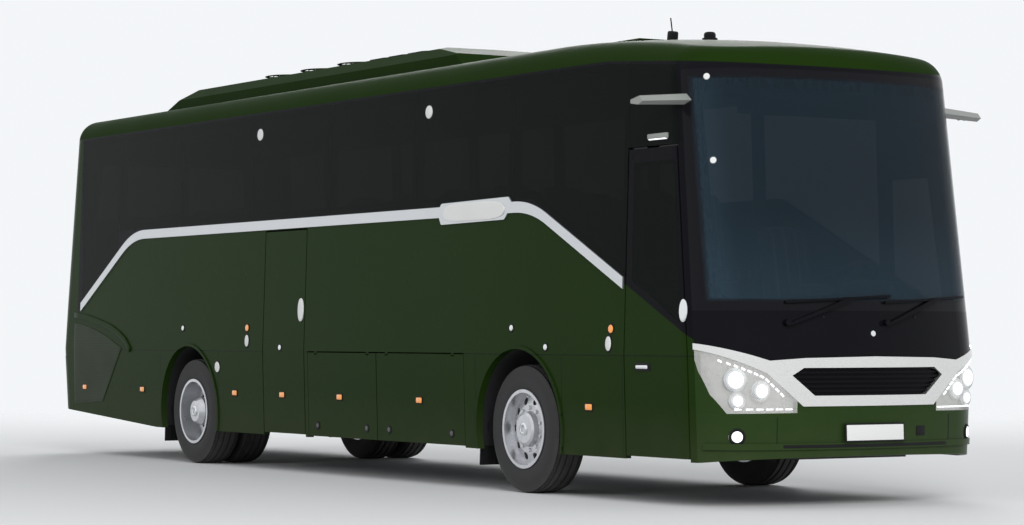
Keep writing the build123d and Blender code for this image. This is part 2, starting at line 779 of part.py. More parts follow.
# Each side: window frames over the glass line, body panels under it, the front post with the panels
def frame_zone(side):
    """Over the glass line; on the door side it also reaches down to the head of the middle door."""
    line = [(BELT_REAR, BELT_Z), (LINE_TAIL, LINE_TAIL_Z), (TAIL_SPLIT + 10, LINE_TAIL_Z)]
    if side < 0:
        head = MID_DOOR_Z[1] + GAP
        ends = (MID_DOOR[0] - GAP, MID_DOOR[1] + GAP)
        line = [(ends[0], BELT_Z), (ends[0], head), (ends[1], head), (ends[1], BELT_Z)] + line
    line = [(PILLAR - 10, line_z(PILLAR)), (BELT_FRONT, BELT_Z)] + line
    return side_prism(line + [(TAIL_SPLIT + 10, TOP_Z), (PILLAR - 10, TOP_Z)], side=side)


def seam_at(station, foot, side):
    """The cut between two lengths of the window frame."""
    return side_prism(rectangle((station, station + PANEL_SEAM), (foot, TOP_Z)), side=side)


def slatted(wall, zone, slats):
    """A panel with a shallow recess cut in it and slats across the recess."""
    recess = zone & (PROUD - LOUVRE_BACK)
    return (wall - recess) + (slats & zone & (OUTER - LOUVRE_BACK))


def slat_bars(levels, number, height, rise=0.0, run=0.0):
    """Bars right across the coach between two heights; over a run towards the tail they drop by the rise."""
    pitch = (levels[1] - levels[0]) / number
    bars = []
    for count in range(number):
        z = levels[0] + pitch * (count + 0.5)
        ends = (LENGTH + 50 - run, LENGTH + 50) if run else RADIATOR
        lower = [(ends[0], z + rise), (ends[1], z)]
        bars.append(side_prism(lower + [(ends[1], z + height), (ends[0], z + height + rise)]))
    return Compound(children=bars)


post_top = FRONT_DOOR_Z[1] + GAP
door_bay = side_prism([(0, 0), (0, post_top), (FRONT_DOOR[1], post_top), (FRONT_DOOR[1], 0)], side=-1)
header_seam = seam_at(FRONT_DOOR[1] + GAP - PANEL_SEAM, post_top - 50, -1)
radiator = side_prism(rectangle(RADIATOR, RADIATOR_Z), QUARTER_CORNER / 4, 1)
for side, word in ((-1, "right"), (1, "left")):
    proud_wall = one(TRIM_SHELL & one(side_zone(side) - ROOF_ZONE))
    wall = walls[side] + (proud_wall & side_prism(QUARTER, QUARTER_CORNER, side))
    if side > 0:
        wall = slatted(wall, radiator, slat_bars(RADIATOR_Z, RADIATOR_SLATS, RADIATOR_SLAT))
    upper = wall & frame_zone(side)
    if side < 0:
        upper = upper - door_bay - header_seam
    lower = wall - upper
    if side < 0:
        lower = lower - header_seam
    for joint in (PANE_JOINTS[0], PANE_JOINTS[-1]):
        upper = upper - seam_at(joint + FRAME_SEAM_BACK, LINE_FOOT_Z, side)
    keep("side_wall_" + word, *[solid for solid in upper.solids() if solid.volume > SCRAP])
    keep("side_panels_" + word, *[solid for solid in lower.solids() if solid.volume > SCRAP])


# Waist moulding: it rises over the front door, runs level and drops at the tail
def moulding_outline():
    low, high = -BELT_HEIGHT / 2, BELT_HEIGHT / 2
    start = FRONT_DOOR[1] + GAP + 20
    line = [(start, line_z(start)), (BELT_FRONT, BELT_Z), (BELT_REAR, BELT_Z), (LINE_TAIL, LINE_TAIL_Z)]
    upper = [(station, z + high) for station, z in line]
    lower = [(station, z + low) for station, z in reversed(line)]
    return upper + lower


def rounded_band(side):
    points = [(0, at(station), z) for station, z in moulding_outline()]
    face = face_of(points)
    bends = [v for v in face.vertices() if abs(abs(v.Z - BELT_Z) - BELT_HEIGHT / 2) < 1]
    corners = [v for v in bends if abs(v.Y) < LENGTH / 2 - 1800]
    face = face.fillet_2d(BELT_CORNER, corners)
    return Solid.extrude(face, Vector(side * SPAN, 0, 0))


mouldings = []
for side in (-1, 1):
    band = rounded_band(side)
    tip = BADGE_HEIGHT / 2
    plate = side_prism(
        [
            (BADGE_START, BELT_Z + 30),
            (BADGE_START + 120, BELT_Z - tip * 0.9),
            (BADGE_START + BADGE_LENGTH - 60, BELT_Z - tip),
            (BADGE_START + BADGE_LENGTH, BELT_Z),
            (BADGE_START + BADGE_LENGTH - 60, BELT_Z + tip * 0.7),
            (BADGE_START + 60, BELT_Z + tip * 0.85),
        ],
        25,
        side,
    )
    mouldings.append(largest(TRIM_SHELL & (band + plate)))
keep("waist_mouldings", *mouldings)

# Roof with its hatch openings, raised curbs and the air unit
roof = one(SKIN_SHELL & ROOF_ZONE)
for name, station in HATCHES.items():
    ends = (station, station + HATCH_LENGTH)
    x = (-HATCH_WIDTH / 2, HATCH_WIDTH / 2)
    margin = CURB / 2
    curb_ends = (ends[0] + margin, ends[1] - margin)
    curb = block((x[0] + margin, x[1] - margin), curb_ends, (CROWN_Z - SKIN, CURB_TOP))
    roof = roof + (curb - INNER)
    hole_x, hole_ends = (x[0] + CURB, x[1] - CURB), (ends[0] + CURB, ends[1] - CURB)
    roof = roof - block(hole_x, hole_ends, (CROWN_Z - 2 * SKIN, CURB_TOP + 10))
    lid = block(x, ends, (CURB_TOP + RUNNING, CURB_TOP + HATCH_THICK))
    upper_edges = [e for e in lid.edges() if e.bounding_box().min.Z > CURB_TOP + HATCH_THICK - 1]
    lid = lid.chamfer(14, None, upper_edges)
    pivot = (at(ends[0]) + HATCH_HINGE_BACK, CURB_TOP + HATCH_HINGE_Z)
    shaft, eyes, notches = hinge((x[0] + 40, *pivot), (x[1] - 40, *pivot), (0, 0, -1), HATCH_HINGE_Z)
    roof = roof + eyes
    hinge_station = ends[0] + HATCH_HINGE_BACK
    wide = (x[0] - 10, x[1] + 10)
    behind = block(wide, (ends[0] - 10, hinge_station + EYE_R + 9), (CURB_TOP - 10, pivot[1]))
    ahead = block(wide, (ends[0] - 10, hinge_station), (CURB_TOP - 10, pivot[1] + 6))
    keep(name, largest(lid - notches - behind - ahead + shaft))
keep("roof", roof)

start, end = AIR_UNIT
cover = side_prism(
    [
        (start, CROWN_Z - AIR_FOOT),
        (start + AIR_STEP[0], CROWN_Z + AIR_STEP[1]),
        (start + AIR_NOSE, AIR_UNIT_TOP),
        (end - AIR_TAIL, AIR_UNIT_TOP),
        (end, CROWN_Z - AIR_FOOT),
    ]
)
section = mirrored(
    [
        (AIR_UNIT_HALF, CROWN_Z - 120),
        (AIR_UNIT_HALF, CROWN_Z + 60),
        (AIR_UNIT_HALF - 90, AIR_UNIT_TOP - 60),
        (AIR_UNIT_HALF - 330, AIR_UNIT_TOP - 12),
        (0, AIR_UNIT_TOP),
    ]
)
unit = one((cover & end_prism(section, None)) - OUTER)
for station in FAN_STATIONS:
    for x in (-FAN_X, FAN_X):
        middle = (x, at(station), AIR_UNIT_TOP - FAN_WELL)
        unit = unit - rod(middle, (x, at(station), AIR_UNIT_TOP + 10), FAN_R)
        fan = rod(middle, (x, at(station), AIR_UNIT_TOP - FAN_WELL / 4), FAN_HUB)
        for number in range(FAN_BLADES):
            turn = Rot(0, 0, 360 / FAN_BLADES * number)
            root = Pos(FAN_HUB + FAN_BLADE[0] / 2 - 5, 0, FAN_WELL / 2)
            fan = fan + Pos(*middle) * turn * root * Rot(FAN_PITCH, 0, 0) * Box(*FAN_BLADE)
        unit = unit + fan
keep("roof_air_unit", largest(unit))

# Nose: bright surround, lamps, black panel and windscreen
surround_half = [
    (0.0, SURROUND_TOP),
    (GRILLE_SHOULDER - 10, SURROUND_TOP - 10),
    (WING_X, SURROUND_TOP - 28),
    (BROW_TIP, BROW_TIP_Z + 20),
    (BROW_TIP + 60, BROW_TIP_Z + 32),
    (BROW_TIP + 60, BROW_TIP_Z - 14),
    (BROW_TIP, BROW_TIP_Z - 25),
    (WING_X + 20, WING_Z),
    (GRILLE_FOOT + 90, BUMPER_TOP + 12),
]
surround_outline = surround_half + [(-x, z) for x, z in reversed(surround_half[1:])]
grille_half = [(GRILLE_FOOT, GRILLE_Z), (GRILLE_HALF, GRILLE_TIP_Z), (GRILLE_SHOULDER, GRILLE_TOP)]
grille_outline = mirrored(grille_half)
black_edge = surround_half[0:4] + [(SPAN, BROW_TIP_Z + 60)]
black_foot = [(-x, z) for x, z in reversed(black_edge[1:])] + black_edge
above_surround = end_prism(black_foot + [(SPAN, TOP_Z), (-SPAN, TOP_Z)])
surround_prism = end_prism(surround_outline)
grille_prism = end_prism(grille_outline)
nose_skin = SKIN_SHELL & (NOSE_ZONE - ROOF_ZONE)
nose_outer = nose_form(0.0)
nose_inner = nose_form(SKIN)
low_skin = (nose_outer - nose_inner) & NOSE_ZONE

raised = nose_form(-SURROUND_PROUD) & NOSE_ZONE & surround_prism
keep("grille_surround", largest(raised - nose_inner - grille_prism))

recess = nose_form(GRILLE_RECESS) & grille_prism
grille = recess - nose_inner
mouth = (nose_form(SLAT_INSET) & grille_prism) - recess
pitch = (GRILLE_TOP - GRILLE_Z) / (SLATS + 1)
for number in range(SLATS):
    z = GRILLE_Z + pitch * (number + 1)
    levels = (z - SLAT_HEIGHT / 2, z + SLAT_HEIGHT / 2)
    grille = grille + (mouth & block((-SPAN, SPAN), (-100, PILLAR), levels))
keep("grille", one(grille))

lamps = []
for side in (-1, 1):
    outline = [(side * x, z) for x, z in LAMP_OUTLINE]
    prism = end_prism(outline)
    lamps.append(largest((low_skin & prism) - surround_prism))
fog_lamps = []
bumper = low_skin - above_surround - surround_prism
for lamp in lamps:
    bumper = bumper - lamp
for side in (-1, 1):
    fog = rod((side * FOG_X, at(-60), FOG_Z), (side * FOG_X, at(700), FOG_Z), FOG_RADIUS)
    fog_lamps.append(largest(bumper & fog))
    bumper = bumper - fog_lamps[-1]
keep("headlamps", *lamps, *fog_lamps)
proud_nose = nose_form(-LIP_PROUD)
lip = (proud_nose & block((-SPAN, SPAN), (-200, PILLAR - 60), (LIP_Z - LIP_HEIGHT, LIP_Z))) - nose_outer
plate_zone = block((-PLATE_PAD[0] / 2, PLATE_PAD[0] / 2), (-200, 200), (LIP_Z, LIP_Z + PLATE_PAD[1]))
plate_pad = (proud_nose & plate_zone) - nose_outer
keep("front_bumper", largest(bumper + lip + plate_pad))

screen_zone = block((-SPAN, SPAN), (-200, 1200), (SCREEN_Z, SCREEN_TOP))
screen = one(GLASS_SHELL & NOSE_ZONE & screen_zone)
keep("windscreen", screen)
panel = (nose_skin & above_surround) - screen
aperture_z = (SCREEN_Z + SCREEN_FRAME, SCREEN_TOP - SCREEN_FRAME - SCREEN_HEAD)
aperture_half = [(SCREEN_HALF, z) for z in aperture_z]
aperture = end_prism(mirrored(aperture_half), radius=SCREEN_CORNER)
keep("front_panel", largest(panel - aperture))

# Wipers lie on the glass, one reaching across from each spindle
wiper_zone = block((-SPAN, SPAN), (-200, PILLAR), (SPINDLE_Z - 40, BLADE_Z + 80))
reaches = (RUNNING, WIPER_BLADE, WIPER_BLADE - 10, WIPER_BLADE + 14)
forms = [nose_form(-reach) & wiper_zone for reach in reaches]
blade_shell = forms[1] - forms[0]
arm_shell = forms[3] - forms[2]
spindle_shell = forms[3] - nose_outer
wipers = []
for spindle_x, tip_x in WIPERS:
    reach = 1 if tip_x > spindle_x else -1
    tip_z = BLADE_Z + BLADE_CLIMB
    lower = [(spindle_x, BLADE_Z - BLADE_WIDE), (tip_x, tip_z - BLADE_WIDE)]
    blade = lower + [(tip_x, tip_z), (spindle_x, BLADE_Z)]
    elbow = spindle_x + reach * WIPER_REACH
    arm = [
        (spindle_x - 20, SPINDLE_Z - 14),
        (spindle_x + 20, SPINDLE_Z - 18),
        (elbow + 20, BLADE_Z + 4),
        (elbow - 20, BLADE_Z + 26),
    ]
    spindle = rod((spindle_x, at(-200), SPINDLE_Z), (spindle_x, at(400), SPINDLE_Z), SPINDLE_R)
    blade_solid = blade_shell & end_prism(blade if reach > 0 else blade[::-1])
    arm_solid = arm_shell & end_prism(arm)
    wipers.append(largest(blade_solid + arm_solid + (spindle_shell & spindle & NOSE_ZONE)))
keep("wipers", *wipers)

# Side cameras: a wing section drawn out of the wall on each side
cameras = []
for side in (-1, 1):
    nose = CAMERA_STATION
    tail = nose + CAMERA_CHORD
    section = [
        (nose, CAMERA_Z - 10),
        (nose + 45, CAMERA_Z + CAMERA_THICK / 2),
        (tail, CAMERA_Z + 12),
        (tail, CAMERA_Z - 22),
        (nose + 60, CAMERA_Z - CAMERA_THICK / 2),
    ]
    inner_wire = Wire.make_polygon([(side * CAMERA_ROOT, at(s), z) for s, z in section], close=True)
    middle = nose + CAMERA_CHORD / 2
    tip = []
    for s, z in section:
        tip_station = middle + CAMERA_SWEEP + (s - middle) * CAMERA_TAPER
        tip.append((tip_station, CAMERA_Z - CAMERA_DROOP + (z - CAMERA_Z) * CAMERA_TAPER))
    outer_wire = Wire.make_polygon([(side * CAMERA_REACH, at(s), z) for s, z in tip], close=True)
    wing = Solid.make_loft([inner_wire, outer_wire], ruled=True)
    cameras.append(largest(wing - OUTER))
keep("camera_arms", *cameras)

# Tail: wall, window, lamps and the engine cover on its hinge
tail_skin = SKIN_SHELL & (TAIL_ZONE - ROOF_ZONE)
def rear_outline(margin):
    """The rear window's half outline, drawn in by a margin."""
    low = (REAR_GLASS_HALF - margin, REAR_GLASS_Z[0] + margin)
    high = (REAR_GLASS_HALF - REAR_GLASS_TAPER - margin, REAR_GLASS_Z[1] - margin)
    return end_prism(mirrored([low, high]), False, REAR_GLASS_TAPER)


rear_glass = one((tail_skin & rear_outline(0.0)) - BEHIND_GLASS)
keep("rear_window", rear_glass)
rear_opening = rear_outline(PANE_MARGIN)
rear_wall = tail_skin - rear_glass - rear_opening
tail_lamps = []
for side in (-1, 1):
    across = tuple(sorted((side * TAIL_LAMP_X, side * SPAN)))
    corner = block(across, (LENGTH - TAIL_LAMP_REACH, LENGTH + 50), TAIL_LAMP_Z)
    tail_lamps.append(largest(tail_skin & corner))
    rear_wall = rear_wall - tail_lamps[-1]
keep("tail_lamps", *tail_lamps)

lid_prism = end_prism(mirrored([(LID_HALF, LID_Z[0]), (LID_HALF, LID_Z[1])]), False)
hole_half = LID_HALF + GAP / 2
lid_hole = end_prism(mirrored([(hole_half, LID_Z[0] - GAP / 2), (hole_half, LID_Z[1] + LID_GAP)]), False)
rear_wall = rear_wall - (tail_skin & lid_hole)
lid_y = tail_y(0, LID_Z[1]) - LID_HINGE_INSET
lid_ends = [(x, lid_y, LID_Z[1]) for x in (-LID_HINGE_HALF, LID_HINGE_HALF)]
lid_rod, lid_eyes, lid_notches = hinge(*lid_ends, (0, 0, 1), LID_GAP)
cover = (tail_skin & lid_prism) - lid_notches + lid_rod
louvre_zone = end_prism(mirrored([(LOUVRE_HALF, z) for z in LOUVRE_Z]), False, LOUVRE_DEPTH)
cover = slatted(cover, louvre_zone, slat_bars(LOUVRE_Z, LOUVRES, LOUVRE_HEIGHT, LOUVRE_FALL, LOUVRE_RUN))
keep("engine_cover", largest(cover))
keep("rear_wall", largest(rear_wall + lid_eyes))

# Floors and steps, cut to the inside of the body
cabin_floor = block((-SPAN, SPAN), (CAB_END, LENGTH), (FLOOR_Z - FLOOR_THICK, FLOOR_Z))
well = (MID_DOOR[0] - WELL_MARGIN, MID_DOOR[1] + WELL_MARGIN)
well_steps = 4
riser = (FLOOR_Z - STEP_Z) / well_steps
cabin_floor = cabin_floor - block((-SPAN, -WELL_EDGE), well, (0, TOP_Z))
keep("passenger_floor", largest(cabin_floor & INNER))


def flight(near, run, steps, plate):
    """(distance, z) corners of a folded step sheet that climbs from STEP_Z to the floor."""
    upper = [(near, STEP_Z)]
    for number in range(1, steps):
        upper.append((near + run * number, STEP_Z + riser * (number - 1)))
        upper.append((near + run * number, STEP_Z + riser * number))
    upper.append((near + run * steps, STEP_Z + riser * (steps - 1)))
    upper.append((near + run * steps, FLOOR_Z))
    lower = [(d + plate, z - plate) for d, z in upper]
    lower[0] = (near, STEP_Z - plate)
    lower[-1] = (near + run * steps + plate, FLOOR_Z)
    return upper + lower[::-1]


# Middle door: steps climb inboard between two side plates
first_step = wall_x(STEP_Z) - SKIN - LEAF_CLEARANCE
tread = (first_step - WELL_EDGE) / well_steps
profile = [(d - first_step, z) for d, z in flight(0.0, tread, well_steps, STEP_PLATE)]
sheet = Solid.extrude(face_of([(x, at(well[0]), z) for x, z in profile]), Vector(0, well[1] - well[0], 0))
middle_entrance = sheet
for edge in (well[0], well[1] - STEP_PLATE):
    cheek = block((-SPAN, -WELL_EDGE), (edge, edge + STEP_PLATE), (STEP_Z - STEP_PLATE, FLOOR_Z))
    middle_entrance = middle_entrance + cheek
middle_entrance = middle_entrance & INNER
floor_face = block((-SPAN, -WELL_EDGE), well, (0, FLOOR_Z))
middle_entrance = middle_entrance & floor_face
bush_x, bush_station = door_column(MID_DOOR, -1)
middle_entrance = middle_entrance + bush((bush_x, at(bush_station), STEP_Z), 30)
keep("middle_entrance", largest(middle_entrance))

# Front door: steps climb rearwards beside the driver's platform
run = (CAB_END - FRONT_DOOR[1]) / (well_steps - 1)
cab_start = FRONT_DOOR[0] - CAB_AHEAD
stair = (-SPAN, CAB_EDGE)
front_steps = block(stair, (cab_start, FRONT_DOOR[1]), (STEP_Z - STEP_PLATE, STEP_Z))
for number in range(1, well_steps):
    start = FRONT_DOOR[1] + run * (number - 1)
    level = STEP_Z + riser * number
    front_steps = front_steps + block(stair, (start, start + run), (level - STEP_PLATE, level))
    front_steps = front_steps + block(stair, (start, start + STEP_PLATE), (level - riser - STEP_PLATE, level))
last_riser = (CAB_END - STEP_PLATE, CAB_END)
front_steps = front_steps + block(stair, last_riser, (FLOOR_Z - riser - STEP_PLATE, FLOOR_Z))
cheek = block((CAB_EDGE, CAB_EDGE + STEP_PLATE), (cab_start, CAB_END), (STEP_Z - STEP_PLATE, CAB_Z))
platform = block((CAB_EDGE, SPAN), (cab_start, CAB_END), (CAB_Z - PLATE, CAB_Z))
platform = platform + block((CAB_EDGE, SPAN), last_riser, (CAB_Z - PLATE, FLOOR_Z))
doorway = block((-SPAN, 0), (0, FRONT_DOOR[1] + GAP), (0, STEP_Z + riser + 50)) - STEP_LIMIT
bush_x, bush_station = door_column(FRONT_DOOR, 1)
front_entrance = ((front_steps + cheek + platform) & INNER) - doorway
front_entrance = front_entrance + bush((bush_x, at(bush_station), STEP_Z), 30)
keep("front_entrance", largest(front_entrance))

# Luggage hold: a floor with a bulkhead at each end, open to the stairwell's plates
hold = block((-HOLD_HALF, HOLD_HALF), HOLD, (HOLD_FLOOR_Z - HOLD_PLATE, HOLD_FLOOR_Z))
bulkhead_z = (HOLD_FLOOR_Z, FLOOR_Z - FLOOR_THICK)
for start in (HOLD[0], HOLD[1] - HOLD_PLATE):
    hold = hold + block((-HOLD_HALF, HOLD_HALF), (start, start + HOLD_PLATE), bulkhead_z)
hold = hold - block((-SPAN, -WELL_EDGE), well, (0, TOP_Z))
keep("luggage_hold", largest(hold))

# Wheel housings
housings = []
for station, inner_x in zip(AXLE_STATIONS, HOUSING_INNER):
    for side in (-1, 1):
        shells = []
        clear_r = ARCH_R + 5
        for radius, foot, first in ((clear_r + LINER, HOUSING_FOOT, inner_x - LINER), (clear_r, 0, inner_x)):
            start, end = sorted((side * first, side * SPAN))
            shape = rod((start, at(station), WHEEL_R), (end, at(station), WHEEL_R), radius)
            shape = shape & block((-SPAN, SPAN), (0, LENGTH), (WHEEL_R, TOP_Z))
            shells.append(shape + block((start, end), (station - radius, station + radius), (foot, WHEEL_R)))
        housing = shells[0] - shells[1]
        slot = block((-SPAN, SPAN), (station - AXLE_SLOT, station + AXLE_SLOT), (0, WHEEL_R + AXLE_SLOT + 60))
        housings.append(largest((housing - slot) & INNER & half_space(side)))
keep("wheel_housings", *housings)

# Underframe: rails joined by cross members, outriggers with jacking pads, and a towing clevis
frame = None
for side in (-1, 1):
    rail = (side * RAIL_X - RAIL_W / 2, side * RAIL_X + RAIL_W / 2)
    low = block(rail, (RAIL_START, REAR_POST + RAIL_W), FRONT_RAIL_Z)
    post = block(rail, (REAR_POST, REAR_POST + RAIL_W), (FRONT_RAIL_Z[0], REAR_RAIL_Z[1]))
    high = block(rail, (REAR_POST, RAIL_END), REAR_RAIL_Z)
    frame = low + post + high if frame is None else frame + low + post + high
rail_face = RAIL_X + RAIL_W / 2
tube_z = (FRONT_RAIL_Z[1] - TUBE, FRONT_RAIL_Z[1])
for station in CROSS_TUBES:
    frame = frame + block((-RAIL_X, RAIL_X), (station, station + TUBE), tube_z)
frame = frame + block((-RAIL_X, RAIL_X), (RAIL_START, RAIL_START + RAIL_W), FRONT_RAIL_Z)
for station in REAR_CROSSES:
    frame = frame + block((-RAIL_X, RAIL_X), (station, station + RAIL_W), REAR_RAIL_Z)
keep("underframe", largest(frame))

outriggers = []
for station in CROSS_TUBES:
    for side in (-1, 1):
        across = tuple(sorted((side * rail_face, side * CROSS_HALF)))
        arm = block(across, (station, station + TUBE), tube_z)
        if station in (CROSS_TUBES[0], CROSS_TUBES[-1]):
            x = (side * JACK_X - JACK_PAD / 2, side * JACK_X + JACK_PAD / 2)
            middle = station + TUBE / 2
            pad_ends = (middle - JACK_PAD / 2, middle + JACK_PAD / 2)
            arm = arm + block(x, pad_ends, (JACK_Z, FRONT_RAIL_Z[1] - TUBE))
        outriggers.append(arm)
keep("outriggers", *outriggers)

drop_z = (TOW_Z - TOW_EAR_GAP / 2 - TOW_EAR, REAR_RAIL_Z[1])
clevis = block((-TOW_HALF, TOW_HALF), (RAIL_END, RAIL_END + RAIL_W), drop_z)
for sign in (-1, 1):
    inner_z = TOW_Z + sign * TOW_EAR_GAP / 2
    levels = tuple(sorted((inner_z, inner_z + sign * TOW_EAR)))
    clevis = clevis + block((-TOW_HALF, TOW_HALF), (RAIL_END, TOW_STATION), levels)
    clevis = clevis + rod((0, at(TOW_STATION), levels[0]), (0, at(TOW_STATION), levels[1]), TOW_HALF)
clevis = clevis - rod((0, at(TOW_STATION), TOW_Z - 100), (0, at(TOW_STATION), TOW_Z + 100), TOW_RADIUS)
keep("tow_clevis", largest(clevis))

engine = block((-ENGINE_HALF, ENGINE_HALF), ENGINE, ENGINE_Z)
keep("engine_block", engine)

# Front axle beam with a boss for each kingpin, and the knuckles that turn on them
front_y = at(AXLE_STATIONS[0])
beam_ends = (AXLE_STATIONS[0] - BEAM_HALF, AXLE_STATIONS[0] + BEAM_HALF)
boss_ends = (AXLE_STATIONS[0] - BOSS_R, AXLE_STATIONS[0] + BOSS_R)
beam = block((-KINGPIN_X, KINGPIN_X), beam_ends, (FRONT_RAIL_Z[1], FRONT_RAIL_Z[1] + BEAM_HEIGHT))
for side in (-1, 1):
    x = side * KINGPIN_X
    beam = beam + rod((x, front_y, WHEEL_R - BOSS_HALF), (x, front_y, WHEEL_R + BOSS_HALF), BOSS_R)
for side in (-1, 1):
    x = side * KINGPIN_X
    beam = beam - rod((x, front_y, 0), (x, front_y, 1000), KINGPIN_R + FIT)
keep("front_axle", largest(beam))
for side, name in ((-1, "knuckle_right"), (1, "knuckle_left")):
    x = side * KINGPIN_X
    pin = rod((x, front_y, WHEEL_R - EAR_OUT), (x, front_y, WHEEL_R + EAR_OUT), KINGPIN_R)
    knuckle = pin
    for sign in (-1, 1):
        levels = tuple(sorted((WHEEL_R + sign * EAR_IN, WHEEL_R + sign * EAR_OUT)))
        knuckle = knuckle + rod((x, front_y, levels[0]), (x, front_y, levels[1]), BOSS_R)
        across = tuple(sorted((x, x + side * FORK_REACH)))
        knuckle = knuckle + block(across, boss_ends, levels)
    across = tuple(sorted((x + side * (FORK_REACH - FORK_WALL), x + side * FORK_REACH)))
    knuckle = knuckle + block(across, boss_ends, (WHEEL_R - EAR_OUT, WHEEL_R + EAR_OUT))
    stub_end = side * (WHEEL_X + STUB_END)
    stub_start = x + side * (FORK_REACH - 5)
    knuckle = knuckle + rod((stub_start, front_y, WHEEL_R), (stub_end, front_y, WHEEL_R), STUB_R)
    keep(name, largest(knuckle))

# Rear axle: a drum-ended tube round the final drive, hung from the rear rails
rear_y = at(AXLE_STATIONS[1])
axle = rod((-AXLE_HALF, rear_y, WHEEL_R), (AXLE_HALF, rear_y, WHEEL_R), AXLE_R)
axle = axle + rod((-DRIVE_HALF, rear_y, WHEEL_R), (DRIVE_HALF, rear_y, WHEEL_R), DRIVE_R)
axle = axle + rod((0, rear_y, WHEEL_R), (0, at(ENGINE[0]), WHEEL_R + PROP_RISE), PROP_R)
for side in (-1, 1):
    seat = (side * RAIL_X - RAIL_W / 2, side * RAIL_X + RAIL_W / 2)
    seat_ends = (AXLE_STATIONS[1] - AXLE_SEAT, AXLE_STATIONS[1] + AXLE_SEAT)
    axle = axle + block(seat, seat_ends, (WHEEL_R, REAR_RAIL_Z[0]))
    stub = (side * (AXLE_HALF - 5), side * (WHEEL_X + STUB_END))
    axle = axle + rod((stub[0], rear_y, WHEEL_R), (stub[1], rear_y, WHEEL_R), STUB_R)
keep("rear_axle", largest(axle - engine))

# Wheels: (outward, radius) corners of the tyre and rim, outward from the wheel's middle
half = TYRE_WIDTH / 2
TYRE_SIDE = [
    (half - 36, WHEEL_R), (half - 10, WHEEL_R - 18), (half, WHEEL_R - 75),
    (half - 4, WHEEL_R - 130), (half - 16, RIM_R),
]
TYRE = TYRE_SIDE + [(-out, radius) for out, radius in TYRE_SIDE[::-1]]
BARREL = [
    (-half, RIM_R + 12), (-half + 9, RIM_R + 12), (-half + 16, RIM_R), (half - 16, RIM_R),
    (half - 9, RIM_R + 12), (half, RIM_R + 12), (half, BEAD_R), (62, BEAD_R),
]
DISC_OUT = [(62, 268), (84, 195), (84, HUB_R + 2)]
DISC_IN = [(62, HUB_R - 8), (66, 195), (44, 272), (44, BEAD_R), (-half, BEAD_R)]
HUB_FRONT = [
    (126, HUB_R - 8), (140, HUB_R - 28), (140, STUB_R + FIT), (-20, STUB_R + FIT), (-20, HUB_R - 20),
]


def pierced(rim, x, station, out, side):
    """A rim with its hand holes cut and its nuts on."""
    y = at(station)
    for number in range(HAND_HOLES):
        angle = radians(360 / HAND_HOLES * number)
        centre = (y + HAND_HOLE_PCD / 2 * cos(angle), WHEEL_R + HAND_HOLE_PCD / 2 * sin(angle))
        rim = rim - rod((x + side * (out - 70), *centre), (x + side * (out + 60), *centre), HAND_HOLE_R)
    for number in range(HAND_HOLES):
        angle = radians(360 / HAND_HOLES * (number + 0.5))
        centre = (y + STUDS_PCD / 2 * cos(angle), WHEEL_R + STUDS_PCD / 2 * sin(angle))
        seat = Plane(origin=(x + side * (out - 8), *centre), z_dir=(side, 0, 0))
        rim = rim + seat * extrude(RegularPolygon(NUT_R, 6), NUT_HEIGHT)
    return rim


def cap(x, station, out, side):
    """The closed end of a hub, just past the stub axle."""
    first = x + side * (STUB_END + RUNNING)
    return rod((first, at(station), WHEEL_R), (x + side * out, at(station), WHEEL_R), STUB_R + 8)


for side, word in ((-1, "right"), (1, "left")):
    x = side * WHEEL_X
    station = AXLE_STATIONS[0]
    keep("front_tyre_" + word, turned(TYRE, x, station, WHEEL_R, side))
    rim = turned(BARREL + DISC_OUT + HUB_FRONT + DISC_IN, x, station, WHEEL_R, side)
    rim = rim + cap(x, station, 140, side)
    keep("front_rim_" + word, largest(pierced(rim, x, station, 84, side)))
    station = AXLE_STATIONS[1]
    inner_x = side * (WHEEL_X - TWIN_SPACING)
    twins = [turned(TYRE, wheel_x, station, WHEEL_R, side) for wheel_x in (x, inner_x)]
    keep("rear_tyres_" + word, *twins)
    plain = BARREL + DISC_OUT[:-1] + [(84, HUB_R - 8)] + DISC_IN
    outer_rim = pierced(turned(plain, x, station, WHEEL_R, -side), x, station, -75, side)
    inner_rim = turned(plain, inner_x, station, WHEEL_R, side)
    hub_start = 84 - TWIN_SPACING - 20
    hub_profile = [
        (hub_start, HUB_R - 4),
        (STUB_END - 40, HUB_R - 4),
        (STUB_END + 10, HUB_R - 40),
        (STUB_END + 10, STUB_R + FIT),
        (hub_start, STUB_R + FIT),
    ]
    hub = turned(hub_profile, x, station, WHEEL_R, side) + cap(x, station, STUB_END + 10, side)
    keep("rear_rims_" + word, largest(outer_rim + hub + inner_rim))

# Cab: dashboard, steering column and wheel, driver's seat
dash_profile = [
    (cab_start, CAB_Z + RUNNING),
    (cab_start, SCREEN_Z - 30),
    (FRONT_DOOR[0] + 110, SCREEN_Z + 40),
    (DASH_END, DASH_Z),
    (DASH_END + 20, DASH_Z - 150),
    (DASH_END - 170, DASH_Z - 230),
    (DASH_END - 230, CAB_Z + RUNNING),
]
dash = (side_prism(dash_profile) & block((CAB_EDGE, SPAN), (0, 3000), (0, TOP_Z))) & STEP_LIMIT
tilt = radians(WHEEL_TILT_DEG)
helm = Vector(HELM[0], at(HELM[1]), HELM[2])
shaft = Vector(0, sin(tilt), cos(tilt))
foot = helm - shaft * HELM_DROP
column = rod(tuple(foot - shaft * 160), tuple(foot), COLUMN_TUBE_R)
column = column - rod(tuple(foot - shaft * 60), tuple(foot), HELM_SHAFT_R + FIT)
dash = dash - rod(tuple(foot - shaft * 60), tuple(foot + shaft * 200), HELM_SHAFT_R + 30)
keep("dashboard", largest(dash + column))
